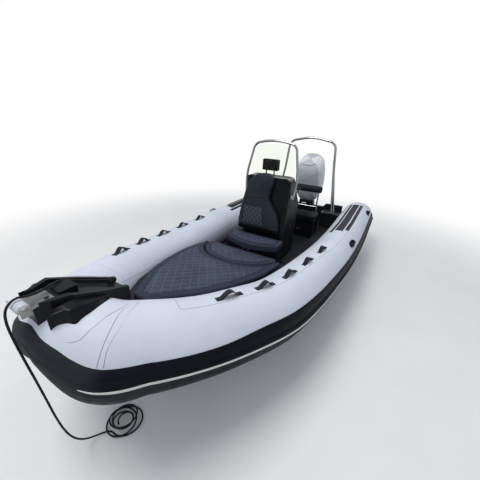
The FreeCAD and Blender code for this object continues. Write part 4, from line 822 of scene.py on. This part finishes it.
def grip_blocks(y):
    """Moulded grip: an oval dished base, and a bar that rises from its ends as a raised cosine."""
    run_mid = run_of(y)
    scale = 180 / math.pi / TUBE_RADIUS

    def at(along, across, up):
        return on_collar(run_mid + along, GRIP_DEG + across * scale, up)

    turn = around(56)
    c, s = [np.sign(way) * np.abs(way) ** 0.75 for way in (np.cos(turn), np.sin(turn))]
    rings = []
    for share, up in ((1.0, -0.002), (1.0, 0.004), (0.97, 0.008), (0.90, 0.010), (0.82, 0.0085),
                      (0.70, 0.004), (0.35, 0.003), (0.02, 0.003)):
        narrow = share if share > 0.9 else share * 0.95
        rings.append(at(c * GRIP_LENGTH * share, s * GRIP_WIDE * narrow, up))
    along = np.linspace(-GRIP_BAR, GRIP_BAR, 41)
    lift = 0.006 + GRIP_RISE * (0.5 * (1 + np.cos(math.pi * along / GRIP_BAR))) ** 0.45
    ring = around(16)
    half = GRIP_BAR_HALF + 0.004 * (np.abs(along) / GRIP_BAR) ** 2
    bar = at(along[:, None], half[:, None] * np.cos(ring), lift[:, None] + 0.0075 * np.sin(ring))
    return [np.stack(rings), bar]


def grips():
    blocks = [block * (flip, 1, 1) for y in GRIP_Y for flip in (1, -1) for block in grip_blocks(y)]
    moulded("carry_grips_moulded", blocks, "rubber", "rubber_black", ("carry_grips",))


def treads():
    blocks = []
    height = np.concatenate([[-0.001], np.full(14, 0.0034), [-0.001]])
    for low, high, front_y, aft_y in TREADS:
        runs = np.linspace(run_of(aft_y), run_of(front_y), 70)
        degrees = np.concatenate([[low - 0.1], np.linspace(low, high, 14), [high + 0.1]])
        grid = on_collar(runs[:, None], degrees[None], height[None])
        blocks += [grid, mirror_x(grid)]
    moulded("tread_strips_ribbed", blocks, "tread", "rubber_black", ("tread_strips",))


TUBE_END = (1.010, 2.430, 0.590)


def end_caps():
    """Moulded cones on the tube ends: a rounded shoulder, a long taper and a small nub."""
    profile = ((-0.004, 0.270), (0.001, 0.284), (0.020, 0.2845), (0.024, 0.282), (0.06, 0.270),
               (0.10, 0.246), (0.135, 0.207), (0.162, 0.155), (0.176, 0.108), (0.180, 0.092),
               (0.186, 0.086), (0.193, 0.074), (0.194, 0.030), (0.194, 0.002))
    grid = turned(profile, TUBE_END, (0, 1, 0), 72)
    moulded("end_cones", [grid, mirror_x(grid)], "rubber", "rubber_black", ("tube_end_caps",))


# Upholstery

def bake(piece):
    """Applies a piece's modifiers."""
    graph = bpy.context.evaluated_depsgraph_get()
    graph.update()
    mesh = bpy.data.meshes.new_from_object(piece.evaluated_get(graph), depsgraph=graph)
    piece.modifiers.clear()
    old = piece.data
    piece.data = mesh
    bpy.data.meshes.remove(old)


def set_all(thing, **values):
    for name, value in values.items():
        setattr(thing, name, value)


def swollen(piece, cap, voxel=0.0095):
    """Sews up a slab as one skin, blows it up a little with cloth pressure and gives its places."""
    set_all(piece.modifiers.new("skin", "REMESH"), mode="VOXEL", voxel_size=voxel, use_smooth_shade=True)
    bake(piece)
    start = vertex_places(piece.data)
    settings = piece.modifiers.new("air", "CLOTH").settings
    set_all(settings, quality=4, use_pressure=True, uniform_pressure_force=4.0, tension_stiffness=25,
            compression_stiffness=25, shear_stiffness=15, bending_stiffness=0.6)
    settings.effector_weights.gravity = 0.0
    for number in range(1, 21):
        SCENE.frame_set(number)
    bake(piece)
    SCENE.frame_set(1)
    shift = vertex_places(piece.data) - start
    length = np.linalg.norm(shift, axis=1, keepdims=True)
    shift *= np.minimum(1.0, cap / np.maximum(length, 1e-9))
    piece.data.vertices.foreach_set("co", (start + shift).astype(np.float32).ravel())
    set_all(piece.modifiers.new("smooth", "SUBSURF"), levels=1, render_levels=1)
    bake(piece)
    return drawing_places(piece.data)


def finish_pad(piece, places, marks, paint, body, node):
    """Moves a pad's points to their places and gives it its marks and finish."""
    piece.data.vertices.foreach_set("co", in_frame(places).astype(np.float32).ravel())
    mark_points(piece.data, marks)
    piece.data.update()
    dress(piece, body, paint, (node,))


def valley(distance, width):
    """1 on a line and 0 away from it, as a smooth dip of that half width."""
    return np.exp(-(np.asarray(distance) / width) ** 2)


def rounded_edge(inside, reach):
    """Share by which an edge falls away: 1 on the outline and 0 from that far inside it."""
    edge = np.clip(1 - np.maximum(inside, 0) / reach, 0, 1)
    return 1 - np.sqrt(np.maximum(1 - edge ** 2, 0))


def diamonds(along, across, cell=FLAT_CELL, degrees=DIAMOND_DEG):
    """Two families of stitched lines, as numbers that grow by one from line to line, and the
    height between them: 0 on a line and 1 in the middle of a diamond."""
    a, b = math.cos(math.radians(degrees)), math.sin(math.radians(degrees))
    first, second = (across * a + along * b) / cell, (across * a - along * b) / cell
    ridge = np.minimum(np.abs(np.sin(first * math.pi)), np.abs(np.sin(second * math.pi)))
    return first, second, ridge ** 0.6


def flat_pad(name, outline, low, thickness, node, body="boat", quilted=True, cap=0.008,
             crown=0.006, **fine):
    """A cushion on a flat seat: crowned, rounded at its edge, with a stitched field inside a border."""
    outline = spread(outline)
    piece = prism(name, np.column_stack([outline, low(outline)]), (0, 0, thickness - 0.004))
    found = swollen(piece, cap, **fine)
    plan = found[:, :2]
    base = low(plan)
    inside = inside_by(plan, outline)
    top = eased((found[:, 2] - base) / thickness, 0.45, 0.8)
    lift = crown * eased(inside, 0.0, 0.16) - rounded_edge(inside, 0.020) * 0.020 * 0.8
    field = inside - BORDER
    first, second, pillow = diamonds(plan[:, 1], plan[:, 0])
    if quilted:
        lift -= 0.0040 * valley(field, 0.0045)
        lift += 0.0045 * pillow * eased(field, 0.0, 0.012) - 0.002 * eased(field, 0.0, 0.02)
    lift -= 0.0022 * valley(inside - 0.012, 0.0030)
    found[:, 2] = np.maximum(found[:, 2] + lift * top, base)
    marks = {"inset": field if quilted else np.full(len(field), -1.0), "quilt_a": first, "quilt_b": second,
             "edge": np.where(top > 0.5, inside, -1.0)}
    finish_pad(piece, found, marks, "quilted" if quilted else "seat", body, node)


def arc_through(first, middle, last, count=24):
    """Points of the circle through three plan places, taken as complex numbers."""
    a, b, c = [complex(*place) for place in (first, middle, last)]
    w = (c - a) / (b - a)
    centre = a + (b - a) * (w - abs(w) ** 2) / (2j * w.imag)
    start, mid, end = np.angle(np.array((a, b, c)) - centre)
    way = 1 if (mid - start) % FULL_TURN < (end - start) % FULL_TURN else -1
    turn = start + way * np.linspace(0, way * (end - start) % FULL_TURN, count)
    arc = centre + abs(a - centre) * np.exp(1j * turn)
    return list(zip(arc.real, arc.imag))


def deck_low(plan):
    return DECK_AFT_Z + (DECK_AFT_Y - plan[:, 1]) * DECK_SLOPE + SEATING


def level(height):
    return lambda plan: np.full(len(plan), height)


def bow_cushion_outline():
    """Outline of the V cushion, kept off the tubes at the cushion's own height."""
    side = arc_through((0.545, -1.040), (0.470, -1.400), (0.330, -1.790))
    side = [(0.560, -0.625), *side, (0.080, -2.160)]
    centre, radius = LINE["centre"], LINE["radius"]
    kept = []
    for x, y in spread(side, 0.03, False):
        z = float(deck_low(np.array([[x, y]]))[0]) + CUSHION_THICKNESS
        gaps = []
        for height in (z, z - CUSHION_THICKNESS):
            away = np.linalg.norm((centre - (0, y, height))[:, 1:], axis=1)
            reach = radius ** 2 - away ** 2
            gaps.append(np.where(reach > 0, centre[:, 0] - np.sqrt(np.maximum(reach, 0)), 9.0).min())
        kept.append((max(min(x, min(gaps) - 0.004), 0.02), y))
    back = arc_through((0.508, -0.625), (0.0, -1.068), (-0.508, -0.625), 36)
    return kept[::-1] + back + [(-x, y) for x, y in kept]


def rounded_box(half_x, half_y, radius, centre):
    """Outline of a box with rounded corners."""
    outline = []
    for quarter, (sx, sy) in enumerate(((1, 1), (-1, 1), (-1, -1), (1, -1))):
        turn = np.linspace(0, math.pi / 2, 7) + quarter * math.pi / 2
        outline.append(np.column_stack([sx * (half_x - radius) + radius * np.cos(turn),
                                        sy * (half_y - radius) + radius * np.sin(turn)]) + centre)
    return np.concatenate(outline)


CONSOLE_SEAT_THICKNESS = 0.088
HELM_SEAT_THICKNESS = 0.100


def cushions():
    flat_pad("bow_pad", bow_cushion_outline(), deck_low, CUSHION_THICKNESS, "bow_cushion",
             cap=0.005, crown=0.004, voxel=0.0115)
    front = arc_through((-0.500, -0.625), (0.0, -1.060), (0.500, -0.625), 36)
    flat_pad("infill_pad", front + [(0.470, -0.565), (-0.470, -0.565)], deck_low, CUSHION_THICKNESS,
             "infill_cushion", cap=0.006)
    front = arc_through((0.400, -0.375), (0.0, -0.505), (-0.400, -0.375), 30)
    flat_pad("console_seat_pad", [(0.400, -0.158), *front, (-0.400, -0.158)], level(CONSOLE_LID_Z),
             CONSOLE_SEAT_THICKNESS, "console_seat_cushion", "console_lid", crown=0.008)
    flat_pad("helm_seat_pad", rounded_box(0.475, 0.170, 0.045, (0, 1.210)), level(HELM_LID_Z),
             HELM_SEAT_THICKNESS, "helm_seat_cushion", "helm_lid", False, crown=0.010)


def hinge_knuckles():
    """Outer knuckles of the two lid hinges, on short plates under their cushions."""
    profile = ((0.0, 0.0005), (0.0, 0.0052), (0.0008, 0.006), (0.0272, 0.006), (0.028, 0.0052),
               (0.028, 0.0005))
    for name, y_pin, z_lid in (("console", -0.499, CONSOLE_LID_Z), ("helm", 1.046, HELM_LID_Z)):
        blocks = [turned(profile, (start, y_pin, z_lid - 0.0065), (1, 0, 0), 20)
                  for start in (0.029, -0.057)]
        moulded(name + "_hinge_knuckles", blocks, "alloy", "stainless", body=name + "_lid")


def console_front(z):
    """Station of the console's front face at a height."""
    share = (z - SOLE_Z) / (CONSOLE_TOP_Z - SOLE_Z)
    return CONSOLE_BASE_FRONT_Y + share * (CONSOLE_TOP_FRONT_Y - CONSOLE_BASE_FRONT_Y)


BACKREST_OUTLINE = (
    (-0.362, 0.850), (-0.360, 1.030), (-0.338, 1.180), (-0.290, 1.400), (-0.232, 1.560), (-0.150, 1.640),
    (-0.030, 1.668), (0.080, 1.650), (0.124, 1.570), (0.100, 1.440), (0.094, 1.335), (0.140, 1.246),
    (0.205, 1.161), (0.250, 1.073), (0.272, 0.970), (0.280, 0.850),
)
BACKREST_LOW_Z = 0.850
LEFT_SEAM_X = -0.272
CROSS_SEAM_Z = 1.322
QUILT_LOW_Z = 0.955
QUILT_TOP_Z = 1.205
BLACK_BELOW_Z = 0.93


def backrest():
    """Upholstered pad on the console's front: domed panels between two long seams."""
    knots = run_along(BACKREST_OUTLINE)
    outline = curve_through(knots, BACKREST_OUTLINE, np.linspace(0, knots[-1], 110))
    outline = np.vstack([outline, [(x, BACKREST_LOW_Z) for x in np.linspace(0.26, -0.34, 28)]])
    back = console_front(outline[:, 1]) - SEATING
    under = np.column_stack([outline[:, 0], back, outline[:, 1]])
    piece = outward(prism("console_backrest_pad", under, (0, 0.006 - BACKREST_THICKNESS, 0)))
    found = swollen(piece, 0.010)
    x, z = found[:, 0], found[:, 2]
    wall = console_front(z) - SEATING
    inside = inside_by(found[:, [0, 2]], outline)
    front = eased((wall - found[:, 1]) / BACKREST_THICKNESS, 0.15, 0.9)
    left = x - LEFT_SEAM_X
    right = x - (0.059 - 0.165 * (z - 0.987))
    between = eased(np.minimum(left, -right), -0.004, 0.004)
    seam = np.minimum(np.abs(left), np.abs(right))
    seam = np.where(between > 0.5, np.minimum(seam, np.abs(z - CROSS_SEAM_Z)), seam)
    field = np.minimum(np.minimum(left, -right) - 0.008, np.minimum(z - QUILT_LOW_Z, QUILT_TOP_Z - z))
    first, second, pillow = diamonds(z, x, BACK_CELL, 42.0)
    lift = 0.020 * eased(inside, 0.0, 0.20) - rounded_edge(inside, 0.038) * 0.026
    lift -= 0.0050 * valley(seam, 0.0055)
    lift += 0.0050 * pillow * eased(field, 0.0, 0.012)
    lift += 0.0015 * np.sin(x * 26 + z * 9) * eased(inside, 0.01, 0.08)
    found[:, 1] = np.minimum(found[:, 1] - (lift - 0.008) * front, wall)
    marks = {"inset": field, "quilt_a": first, "quilt_b": second, "seam": seam, "low": BLACK_BELOW_Z - z}
    finish_pad(piece, found, marks, "backrest", "boat", "console_backrest")


BOLSTER_CENTRE = (0, 1.468, 1.225)
BOLSTER_HALF = 0.430
BOLSTER_RADIUS = 0.0605


def bolster():
    """Roll cushion behind the helm seat: a filled tube with a seam near each end."""
    half = BOLSTER_HALF
    run = np.linspace(-1, 1, 121)
    radius = BOLSTER_RADIUS * (1 - 0.03 * np.abs(run) ** 3)
    radius -= 0.0035 * valley((np.abs(run) - 0.90) * half, 0.005)
    radius += 0.0008 * np.sin(run * 31)
    rows = [(-half, 0.001), (-half, 0.030), (-half + 0.004, 0.048), *zip(run * (half - 0.012), radius),
            (half - 0.004, 0.048), (half, 0.030), (half, 0.001)]
    grid = turned(rows, BOLSTER_CENTRE, (1, 0, 0), 64)
    moulded("bolster_pad", [grid], "vinyl", "vinyl_charcoal", ("backrest_bolster",))


# Engine cover, upright in the engine's own place: height, front, aft and half width of each section

COVER_ROWS = np.array((
    (0.070, -0.070, 0.408, 0.196), (0.110, -0.084, 0.440, 0.212), (0.230, -0.106, 0.496, 0.242),
    (0.380, -0.108, 0.520, 0.257), (0.520, -0.102, 0.527, 0.260), (0.650, -0.090, 0.520, 0.254),
    (0.760, -0.066, 0.498, 0.238), (0.825, -0.030, 0.462, 0.206), (0.865, 0.030, 0.402, 0.150),
    (0.879, 0.110, 0.320, 0.075), (0.881, 0.210, 0.222, 0.008),
))
COVER_TOP_Z = 0.881
COVER_SEAM_DEG = 37.0
COVER_SIDES = 144


def tilted(points):
    """Upright engine places turned to the rest tilt about the pivot."""
    c, s = math.cos(REST_TILT), math.sin(REST_TILT)
    x, y, z = np.moveaxis(points, -1, 0)
    return np.stack([x, PIVOT[1] + y * c - z * s, PIVOT[2] + y * s + z * c], -1)


def engine_cover():
    """Fitted cloth cover: rounded sections lofted to a dome, gathered in at its hem."""
    dome = 0.76 + (COVER_TOP_Z - 0.76) * np.sin(np.linspace(0.03, 0.5, 30) * math.pi)
    height = np.concatenate([np.linspace(0.070, 0.76, 60), dome])
    rows = curve_through(COVER_ROWS[:, 0], COVER_ROWS, np.minimum(height, COVER_TOP_Z))
    turn = around(COVER_SIDES)
    c, s = np.cos(turn)[None], np.sin(turn)[None]
    front, aft, half = rows[:, 1:2], rows[:, 2:3], rows[:, 3:4]
    x = half * np.sign(c) * np.abs(c) ** 0.66
    y = (front + aft) / 2 + (aft - front) / 2 * np.sign(s) * np.abs(s) ** 0.66
    z = np.repeat(height[:, None], COVER_SIDES, 1)
    low = valley(z - 0.07, 0.05)
    slack = 0.0035 * np.sin(turn * 9 + z * 18) * valley(z - 0.20, 0.12)
    slack = slack + 0.004 * np.sin(turn * 31) * low - 0.010 * low
    fold = 0.0022 * np.sin(z * 21 + 2.5 * np.sin(turn * 2))
    slack = slack + fold * eased(z, 0.25, 0.4) * (1 - eased(z, 0.7, 0.8))
    degrees = np.degrees(turn)
    away = np.minimum(np.abs((degrees + 180) % 360 - 180), np.abs(degrees % 360 - 180))
    sunk = 0.003 * valley((away - COVER_SEAM_DEG)[None] * 0.0038, 0.006)
    grid = tilted(np.stack([x + c * slack - c * sunk, y + s * slack - s * sunk, z], -1))
    count = len(height)
    faces = ring_faces(count, COVER_SIDES) + [list(range((count - 1) * COVER_SIDES, count * COVER_SIDES))]
    # the panel mark places the seams and the painted highlight on the cover's side panels
    marks = {"panel": np.repeat((COVER_SEAM_DEG - away)[None], count, 0), "hem": z - 0.085}
    piece = outward(add_piece("engine_cover_cloth", grid, faces, "cover", "cover_cloth", ("engine_cover",),
                              "engine", marks))
    set_all(piece.modifiers.new("cloth", "SOLIDIFY"), thickness=0.0016, offset=1.0)


# Mooring rope, from its knot on the step to the floor

ROPE_RADIUS = 0.006
ROPE_SIDES = 12
ROPE_ROUTE = (
    (-0.040, -2.330, 1.2363), (-0.060, -2.400, 1.264), (-0.069, -2.470, 1.298), (-0.072, -2.545, 1.340),
    (-0.062, -2.600, 1.374), (-0.040, -2.652, 1.383), (-0.016, -2.720, 1.381), (-0.004, -2.784, 1.398),
    (0.000, -2.822, 1.416), (0.002, -2.872, 1.384), (0.001, -2.888, 1.300), (-0.002, -2.886, 1.160),
    (-0.004, -2.880, 1.010), (-0.005, -2.872, 0.845), (-0.002, -2.866, 0.680), (0.004, -2.862, 0.530),
    (0.006, -2.852, 0.392), (0.002, -2.832, 0.270), (-0.010, -2.796, 0.160), (-0.022, -2.748, 0.076),
    (-0.022, -2.692, 0.024), (0.000, -2.640, 0.008), (0.036, -2.606, 0.007),
)
KNOT_LENGTH = 0.044
PILE_CENTRE = (0.060, -2.500)
# Turns of the pile: radius, how far the turn's middle lies off the pile's, and in which direction
PILE_TURNS = ((0.130, 0.011, 336), (0.106, 0.025, 230), (0.089, 0.030, 136), (0.080, 0.027, 281),
              (0.056, 0.028, 346))
PILE_START_RADIUS = 0.1087
PILE_START = -1.69
PILE_STEP = 0.0132


def pile_turns():
    """Loose turns of rope: ovals of their own size, each off to its own side and higher than the last."""
    radius, off, way = np.array(PILE_TURNS).T
    way = np.radians(way)
    values = np.column_stack([radius, off * np.cos(way), off * np.sin(way)])
    knots = np.concatenate([[0], np.arange(len(radius)) + 0.5])
    t = (np.arange(len(radius) * 16) + 0.8) / 16
    values = np.vstack([(PILE_START_RADIUS, 0, 0), values])
    height = 0.0066 + PILE_STEP * sum(eased(t, k + 0.61, k + 0.97) for k in range(len(radius) - 1))
    radius, dx, dy = curve_through(knots, values, np.minimum(t, knots[-1])).T
    angle = PILE_START + t * FULL_TURN
    reach = radius * (1 + 0.04 * np.sin(2 * angle + 0.6) * np.minimum(t * 2, 1))
    return np.stack([PILE_CENTRE[0] + dx + reach * np.cos(angle),
                     PILE_CENTRE[1] + dy + reach * np.sin(angle), height], -1)


def spline_points(points, name="rope_line"):
    """Places along the smooth spline that has these points as its control points."""
    curve = bpy.data.curves.new(name, "CURVE")
    set_all(curve, dimensions="3D", resolution_u=6)
    spline = curve.splines.new("NURBS")
    spline.points.add(len(points) - 1)
    spline.points.foreach_set("co", np.column_stack([in_frame(points), np.ones(len(points))]).ravel())
    set_all(spline, order_u=3, use_endpoint_u=True)
    holder = bpy.data.objects.new(name, curve)
    SCENE.collection.objects.link(holder)
    graph = bpy.context.evaluated_depsgraph_get()
    graph.update()
    line = bpy.data.meshes.new_from_object(holder.evaluated_get(graph), depsgraph=graph)
    found = drawing_places(line)
    bpy.data.objects.remove(holder)
    bpy.data.curves.remove(curve)
    bpy.data.meshes.remove(line)
    return found


def rope_knot():
    """Tight turns of the rope round its eye, as a ribbed barrel."""
    rows = [(0.0, 0.0005)]
    for share in np.linspace(0, 1, 60):
        bead = 0.0165 + 0.0055 * abs(math.sin(share * math.pi * 3.5)) ** 0.7
        end = min(share, 1 - share)
        shrunk = math.sin(end * math.pi * 2.2 + 0.25) ** 0.5 if end < 0.11 else 1.0
        rows.append((share * KNOT_LENGTH, bead * shrunk))
    knot = turned(rows + [(KNOT_LENGTH, 0.0005)], ROPE_ROUTE[0], (0.0, 1.0, -0.47), 28)
    return moulded("rope_knot", [knot], "rope_knot", "rope_black", ("mooring_knot",))


def rope():
    """The mooring rope over the roller to its loose turns on the floor."""
    path = spline_points(np.vstack([ROPE_ROUTE, pile_turns()]))
    run = run_along(path)
    piece = add_piece("mooring_rope", *merged([rings_along(path, ROPE_RADIUS, ROPE_SIDES)]), "rope",
                      "rope_black", ("mooring_line", "mooring_pile"))
    rows = np.arange(len(path) - 1).repeat(ROPE_SIDES)
    cols = np.tile(np.arange(ROPE_SIDES), len(path) - 1)
    corners = {"run": [run[rows], run[rows + 1], run[rows + 1], run[rows]],
               "turn": [cols / ROPE_SIDES] * 2 + [(cols + 1) / ROPE_SIDES] * 2}
    for name, values in corners.items():
        values = np.concatenate([np.stack(values, -1).ravel(), np.zeros(2 * ROPE_SIDES)])
        layer = piece.data.attributes.new(name, "FLOAT", "CORNER")
        layer.data.foreach_set("value", values.astype(np.float32))
    outward(piece)
    knot = rope_knot()
    tuple(in_frame([path[0]])[0])
    in_frame(path).tolist()


# Small fittings, each at its place on the boat

ROLLER_CENTRE = (0, -2.820, 1.3643)
ROLLER_RIBS = 8
ROLLER_PITCH = 0.0129
PLOTTER_CENTRE = np.array((-0.045, 1.745))
PLOTTER_HALF = (0.105, 0.062)
PLOTTER_FACE_Y = 0.240
FITTING_PLACE = (0.455 * 0.52, 1.065, 0.600)
PLATE_HOLE = (0.034, -2.712, 1.3624)


def bow_roller():
    """Ribbed plastic roller on its pin."""
    rows = [(-0.0692, 0.0005), (-0.0692, 0.006), (-0.055, 0.006), (-0.055, 0.024), (-0.0535, 0.0265)]
    for start in -0.0505 + np.arange(ROLLER_RIBS) * ROLLER_PITCH:
        rows += [(start, 0.0292), (start + 0.0012, 0.030), (start + 0.0066, 0.030),
                 (start + 0.0078, 0.0292), (start + 0.0088, 0.0262), (start + 0.0114, 0.0262)]
    rows += [(0.0535, 0.0265), (0.055, 0.024), (0.055, 0.006), (0.0692, 0.006), (0.0692, 0.0005)]
    grid = turned(rows, ROLLER_CENTRE, (1, 0, 0))
    moulded("bow_roller_ribbed", [grid], "roller", "roller_pale", ("bow_roller",))


# Shoulders of the bow step: each row is a foot on the tube (back from the stem, angle) and the
# shoulder's distance from the middle and height; then the height of the step's top edge by station
STEP_SHOULDER = np.array((
    (0.060, 46.0, 0.153, 1.322), (0.065, 54.0, 0.160, 1.332), (0.078, 61.0, 0.180, 1.338),
    (0.094, 63.5, 0.205, 1.338), (0.096, 73.5, 0.207, 1.334), (0.101, 82.5, 0.205, 1.324),
    (0.105, 95.0, 0.190, 1.306), (0.110, 110.0, 0.168, 1.283), (0.112, 124.0, 0.154, 1.262),
))
STEP_TOP = ((-2.790, 1.354), (-2.640, 1.354), (-2.497, 1.288), (-2.285, 1.188))
STEP_HALF_WIDTH = 0.1465


def step_shoulders():
    """Flared side walls of the step, from its top edge out to a shoulder and down to each tube."""
    last = len(STEP_SHOULDER) - 1
    back, degrees, x, high = curve_through(np.arange(last + 1), STEP_SHOULDER, np.linspace(0, last, 57)).T
    foot_x, y, foot_z = on_collar(STEM_RUN - back, degrees, 0.002).T
    wall = np.interp(y, *np.array(STEP_TOP).T)
    z = np.minimum(high, wall - 0.004)
    step_x = np.full_like(x, STEP_HALF_WIDTH)
    section = ((step_x, wall), (x - 0.008, z + 0.0035), (x - 0.002, z + 0.001), (x, z - 0.005),
               (foot_x - 0.001, foot_z + 0.010), (foot_x, foot_z), (step_x, foot_z - 0.02))
    grid = np.stack([np.column_stack([across, y, up]) for across, up in section], 1)
    moulded("step_shoulders", [grid, mirror_x(grid)], "step", "moulded_black", smooth=False)


def plotter_face():
    """Glass face of the plotter on its aft side, in a thin frame."""
    centre = PLOTTER_CENTRE
    outline = rounded_box(*PLOTTER_HALF, 0.010, centre)
    rings = [np.insert(centre + (outline - centre) * share, 1, PLOTTER_FACE_Y + proud, axis=1)
             for share, proud in ((1, -0.001), (1, 0.0016), (0.975, 0.0024), (0.02, 0.0024))]
    moulded("plotter_glass", [np.stack(rings)], "glass", "moulded_black")


def fitting_cone():
    """Dished black cone inside the silver ring on the helm seat's box."""
    rows = ((0.0005, 0.0005), (0.0005, 0.046), (0.004, 0.0475), (0.0055, 0.044), (0.0035, 0.040),
            (0.0014, 0.026), (0.0012, 0.018), (0.0045, 0.0155), (0.0062, 0.010), (0.0068, 0.0008))
    grid = turned(rows, np.subtract(FITTING_PLACE, (0, SEATING, 0)), (0, -1, 0), 56)
    moulded("fitting_cone", [grid], "rubber", "rubber_black")


def plate_hole():
    """Dark sleeve in the bow plate's hole."""
    rows = ((0.0, 0.0005), (0.0, 0.011), (0.0008, 0.0125), (0.0014, 0.011), (0.0010, 0.008),
            (0.0008, 0.0005))
    grid = turned(rows, PLATE_HOLE, (0, 0, 1), 32)
    moulded("plate_sleeve", [grid], "rubber", "rubber_black")


for build in (collar_skin, rub_band, stripes, straps, grips, treads, end_caps, cushions, hinge_knuckles,
              backrest, bolster, engine_cover, rope, bow_roller, step_shoulders, plotter_face,
              fitting_cone, plate_hole):
    build()


# CAD nodes that keep their own shape

KEPT = {
    "gelcoat": ("hull", "transom", "stern_lockers", "bow_deck"),
    "deck": ("cockpit_sole",),
    "rubber": ("chocks",),
    "step": ("bow_step",),
    "moulding": ("console", "console_seat_base", "helm_seat_box", "plotter", "throttle",
                 "helm_boss", "steering_wheel"),
    "steel": ("screen_hoop", "seat_frame", "roll_arch", "seat_fitting"),
    "plate": ("bow_plate",),
    "acrylic": ("windscreen",),
    "engine": ("engine_clamp", "engine_swivel", "engine_leg", "powerhead"),
    "alloy": ("propeller",),
}


def paint_kept():
    """Gives every CAD node a paint: its own, or a plain one under the pieces that replace it."""
    painted = {name: paint for paint, names in KEPT.items() for name in names}
    for name, node in NODES.items():
        node.data.materials.clear()
        node.data.materials.append(PAINTS[painted.get(name, "rubber")])


# Floor, light and camera

FLOOR_CLEAR = 3.2
FLOOR_GONE = 7.0
WORLD_LIGHT = 0.60
LAMP_AIM = (0, 0, 0.6)
LAMPS = (
    ("key", (-1.2, -3.6, 8.0), 3.5, 420, (1.0, 0.98, 0.95)),
    ("fill", (5.5, -4.5, 4.0), 5.0, 30, (0.92, 0.96, 1.0)),
    ("back", (1.0, 7.0, 6.0), 5.0, 120, (1.0, 1.0, 1.0)),
)
CAMERA_PLACE = (1.435, -3.110, 2.218)
CAMERA_YAW = 30.30
CAMERA_PITCH = 24.55
CAMERA_ROLL = 2.13
FOCAL_PIXELS = 248.62
FRAME_PIXELS = 480.0
SENSOR_WIDTH = 36.0


def seen(tree):
    """1 for rays from the camera, straight or through clear sheet, and 0 for rays that light."""
    rays = tree.nodes.new("ShaderNodeLightPath")
    either = tree.nodes.new("ShaderNodeMath")
    either.operation = "MAXIMUM"
    tree.links.new(rays.outputs["Is Camera Ray"], either.inputs[0])
    tree.links.new(rays.outputs["Is Transmission Ray"], either.inputs[1])
    return either.outputs[0]


def stage():
    """A pale floor that fades to the white of the background a few metres from the boat."""
    bpy.ops.mesh.primitive_plane_add(size=80, location=(0, 0, 0))
    floor = bpy.context.object
    floor.name = "floor"
    paint = Paint("floor_paint", (0.70, 0.705, 0.71), 0.75)
    paint.done(paint.mix(paint.noise(1.5, 4.0).step(0.3, 0.8), (0.69, 0.695, 0.70), (0.72, 0.72, 0.72)))
    x, y, z = paint.axes()
    away = (x * x + y * y).math("SQRT")
    glow = paint.node("ShaderNodeEmission", {}, (1.0, 1.0, 1.0), 1.0)
    share = away.step(FLOOR_CLEAR, FLOOR_GONE) * Socket(paint, seen(paint.tree))
    blend = paint.node("ShaderNodeMixShader", {}, share, Socket(paint, paint.shader.outputs[0]), glow)
    paint.tree.links.new(blend.out, paint.tree.nodes["Material Output"].inputs[0])
    floor.data.materials.append(paint.material)
    world = bpy.data.worlds.new("studio")
    SCENE.world = world
    world.use_nodes = True
    nodes, links = world.node_tree.nodes, world.node_tree.links
    light, white = nodes["Background"], nodes.new("ShaderNodeBackground")
    light.inputs["Color"].default_value = (0.90, 0.94, 1.0, 1)
    light.inputs["Strength"].default_value = WORLD_LIGHT
    white.inputs["Color"].default_value = (1, 1, 1, 1)
    both = nodes.new("ShaderNodeMixShader")
    for index, out in enumerate((seen(world.node_tree), light.outputs[0], white.outputs[0])):
        links.new(out, both.inputs[index])
    links.new(both.outputs[0], nodes["World Output"].inputs[0])
    for name, place, size, power, colour in LAMPS:
        lamp = bpy.data.lights.new(name, "AREA")
        set_all(lamp, size=size, energy=power, color=colour)
        holder = bpy.data.objects.new(name, lamp)
        aim = Vector(LAMP_AIM) - Vector(place)
        set_all(holder, location=place, rotation_mode="QUATERNION",
                rotation_quaternion=aim.to_track_quat("-Z", "Y"))
        SCENE.collection.objects.link(holder)


def camera():
    """The photograph's view: yaw turns left of the bow-to-stern line, pitch looks down."""
    yaw, pitch, roll = [math.radians(v) for v in (CAMERA_YAW, CAMERA_PITCH, CAMERA_ROLL)]
    ahead = Vector((-math.sin(yaw) * math.cos(pitch), math.cos(yaw) * math.cos(pitch), -math.sin(pitch)))
    right = Vector((math.cos(yaw), math.sin(yaw), 0))
    up = right.cross(ahead)
    right, up = (math.cos(roll) * right + math.sin(roll) * up,
                 math.cos(roll) * up - math.sin(roll) * right)
    lens = bpy.data.cameras.new("camera")
    set_all(lens, sensor_width=SENSOR_WIDTH, lens=FOCAL_PIXELS / FRAME_PIXELS * SENSOR_WIDTH,
            clip_start=0.05)
    holder = bpy.data.objects.new("camera", lens)
    place = Vector(in_frame([CAMERA_PLACE])[0])
    holder.matrix_world = Matrix((*zip(right, up, -ahead, place), (0, 0, 0, 1)))
    SCENE.collection.objects.link(holder)
    SCENE.camera = holder


paint_kept()
stage()
camera()
SCENE.view_settings.view_transform = "Standard"
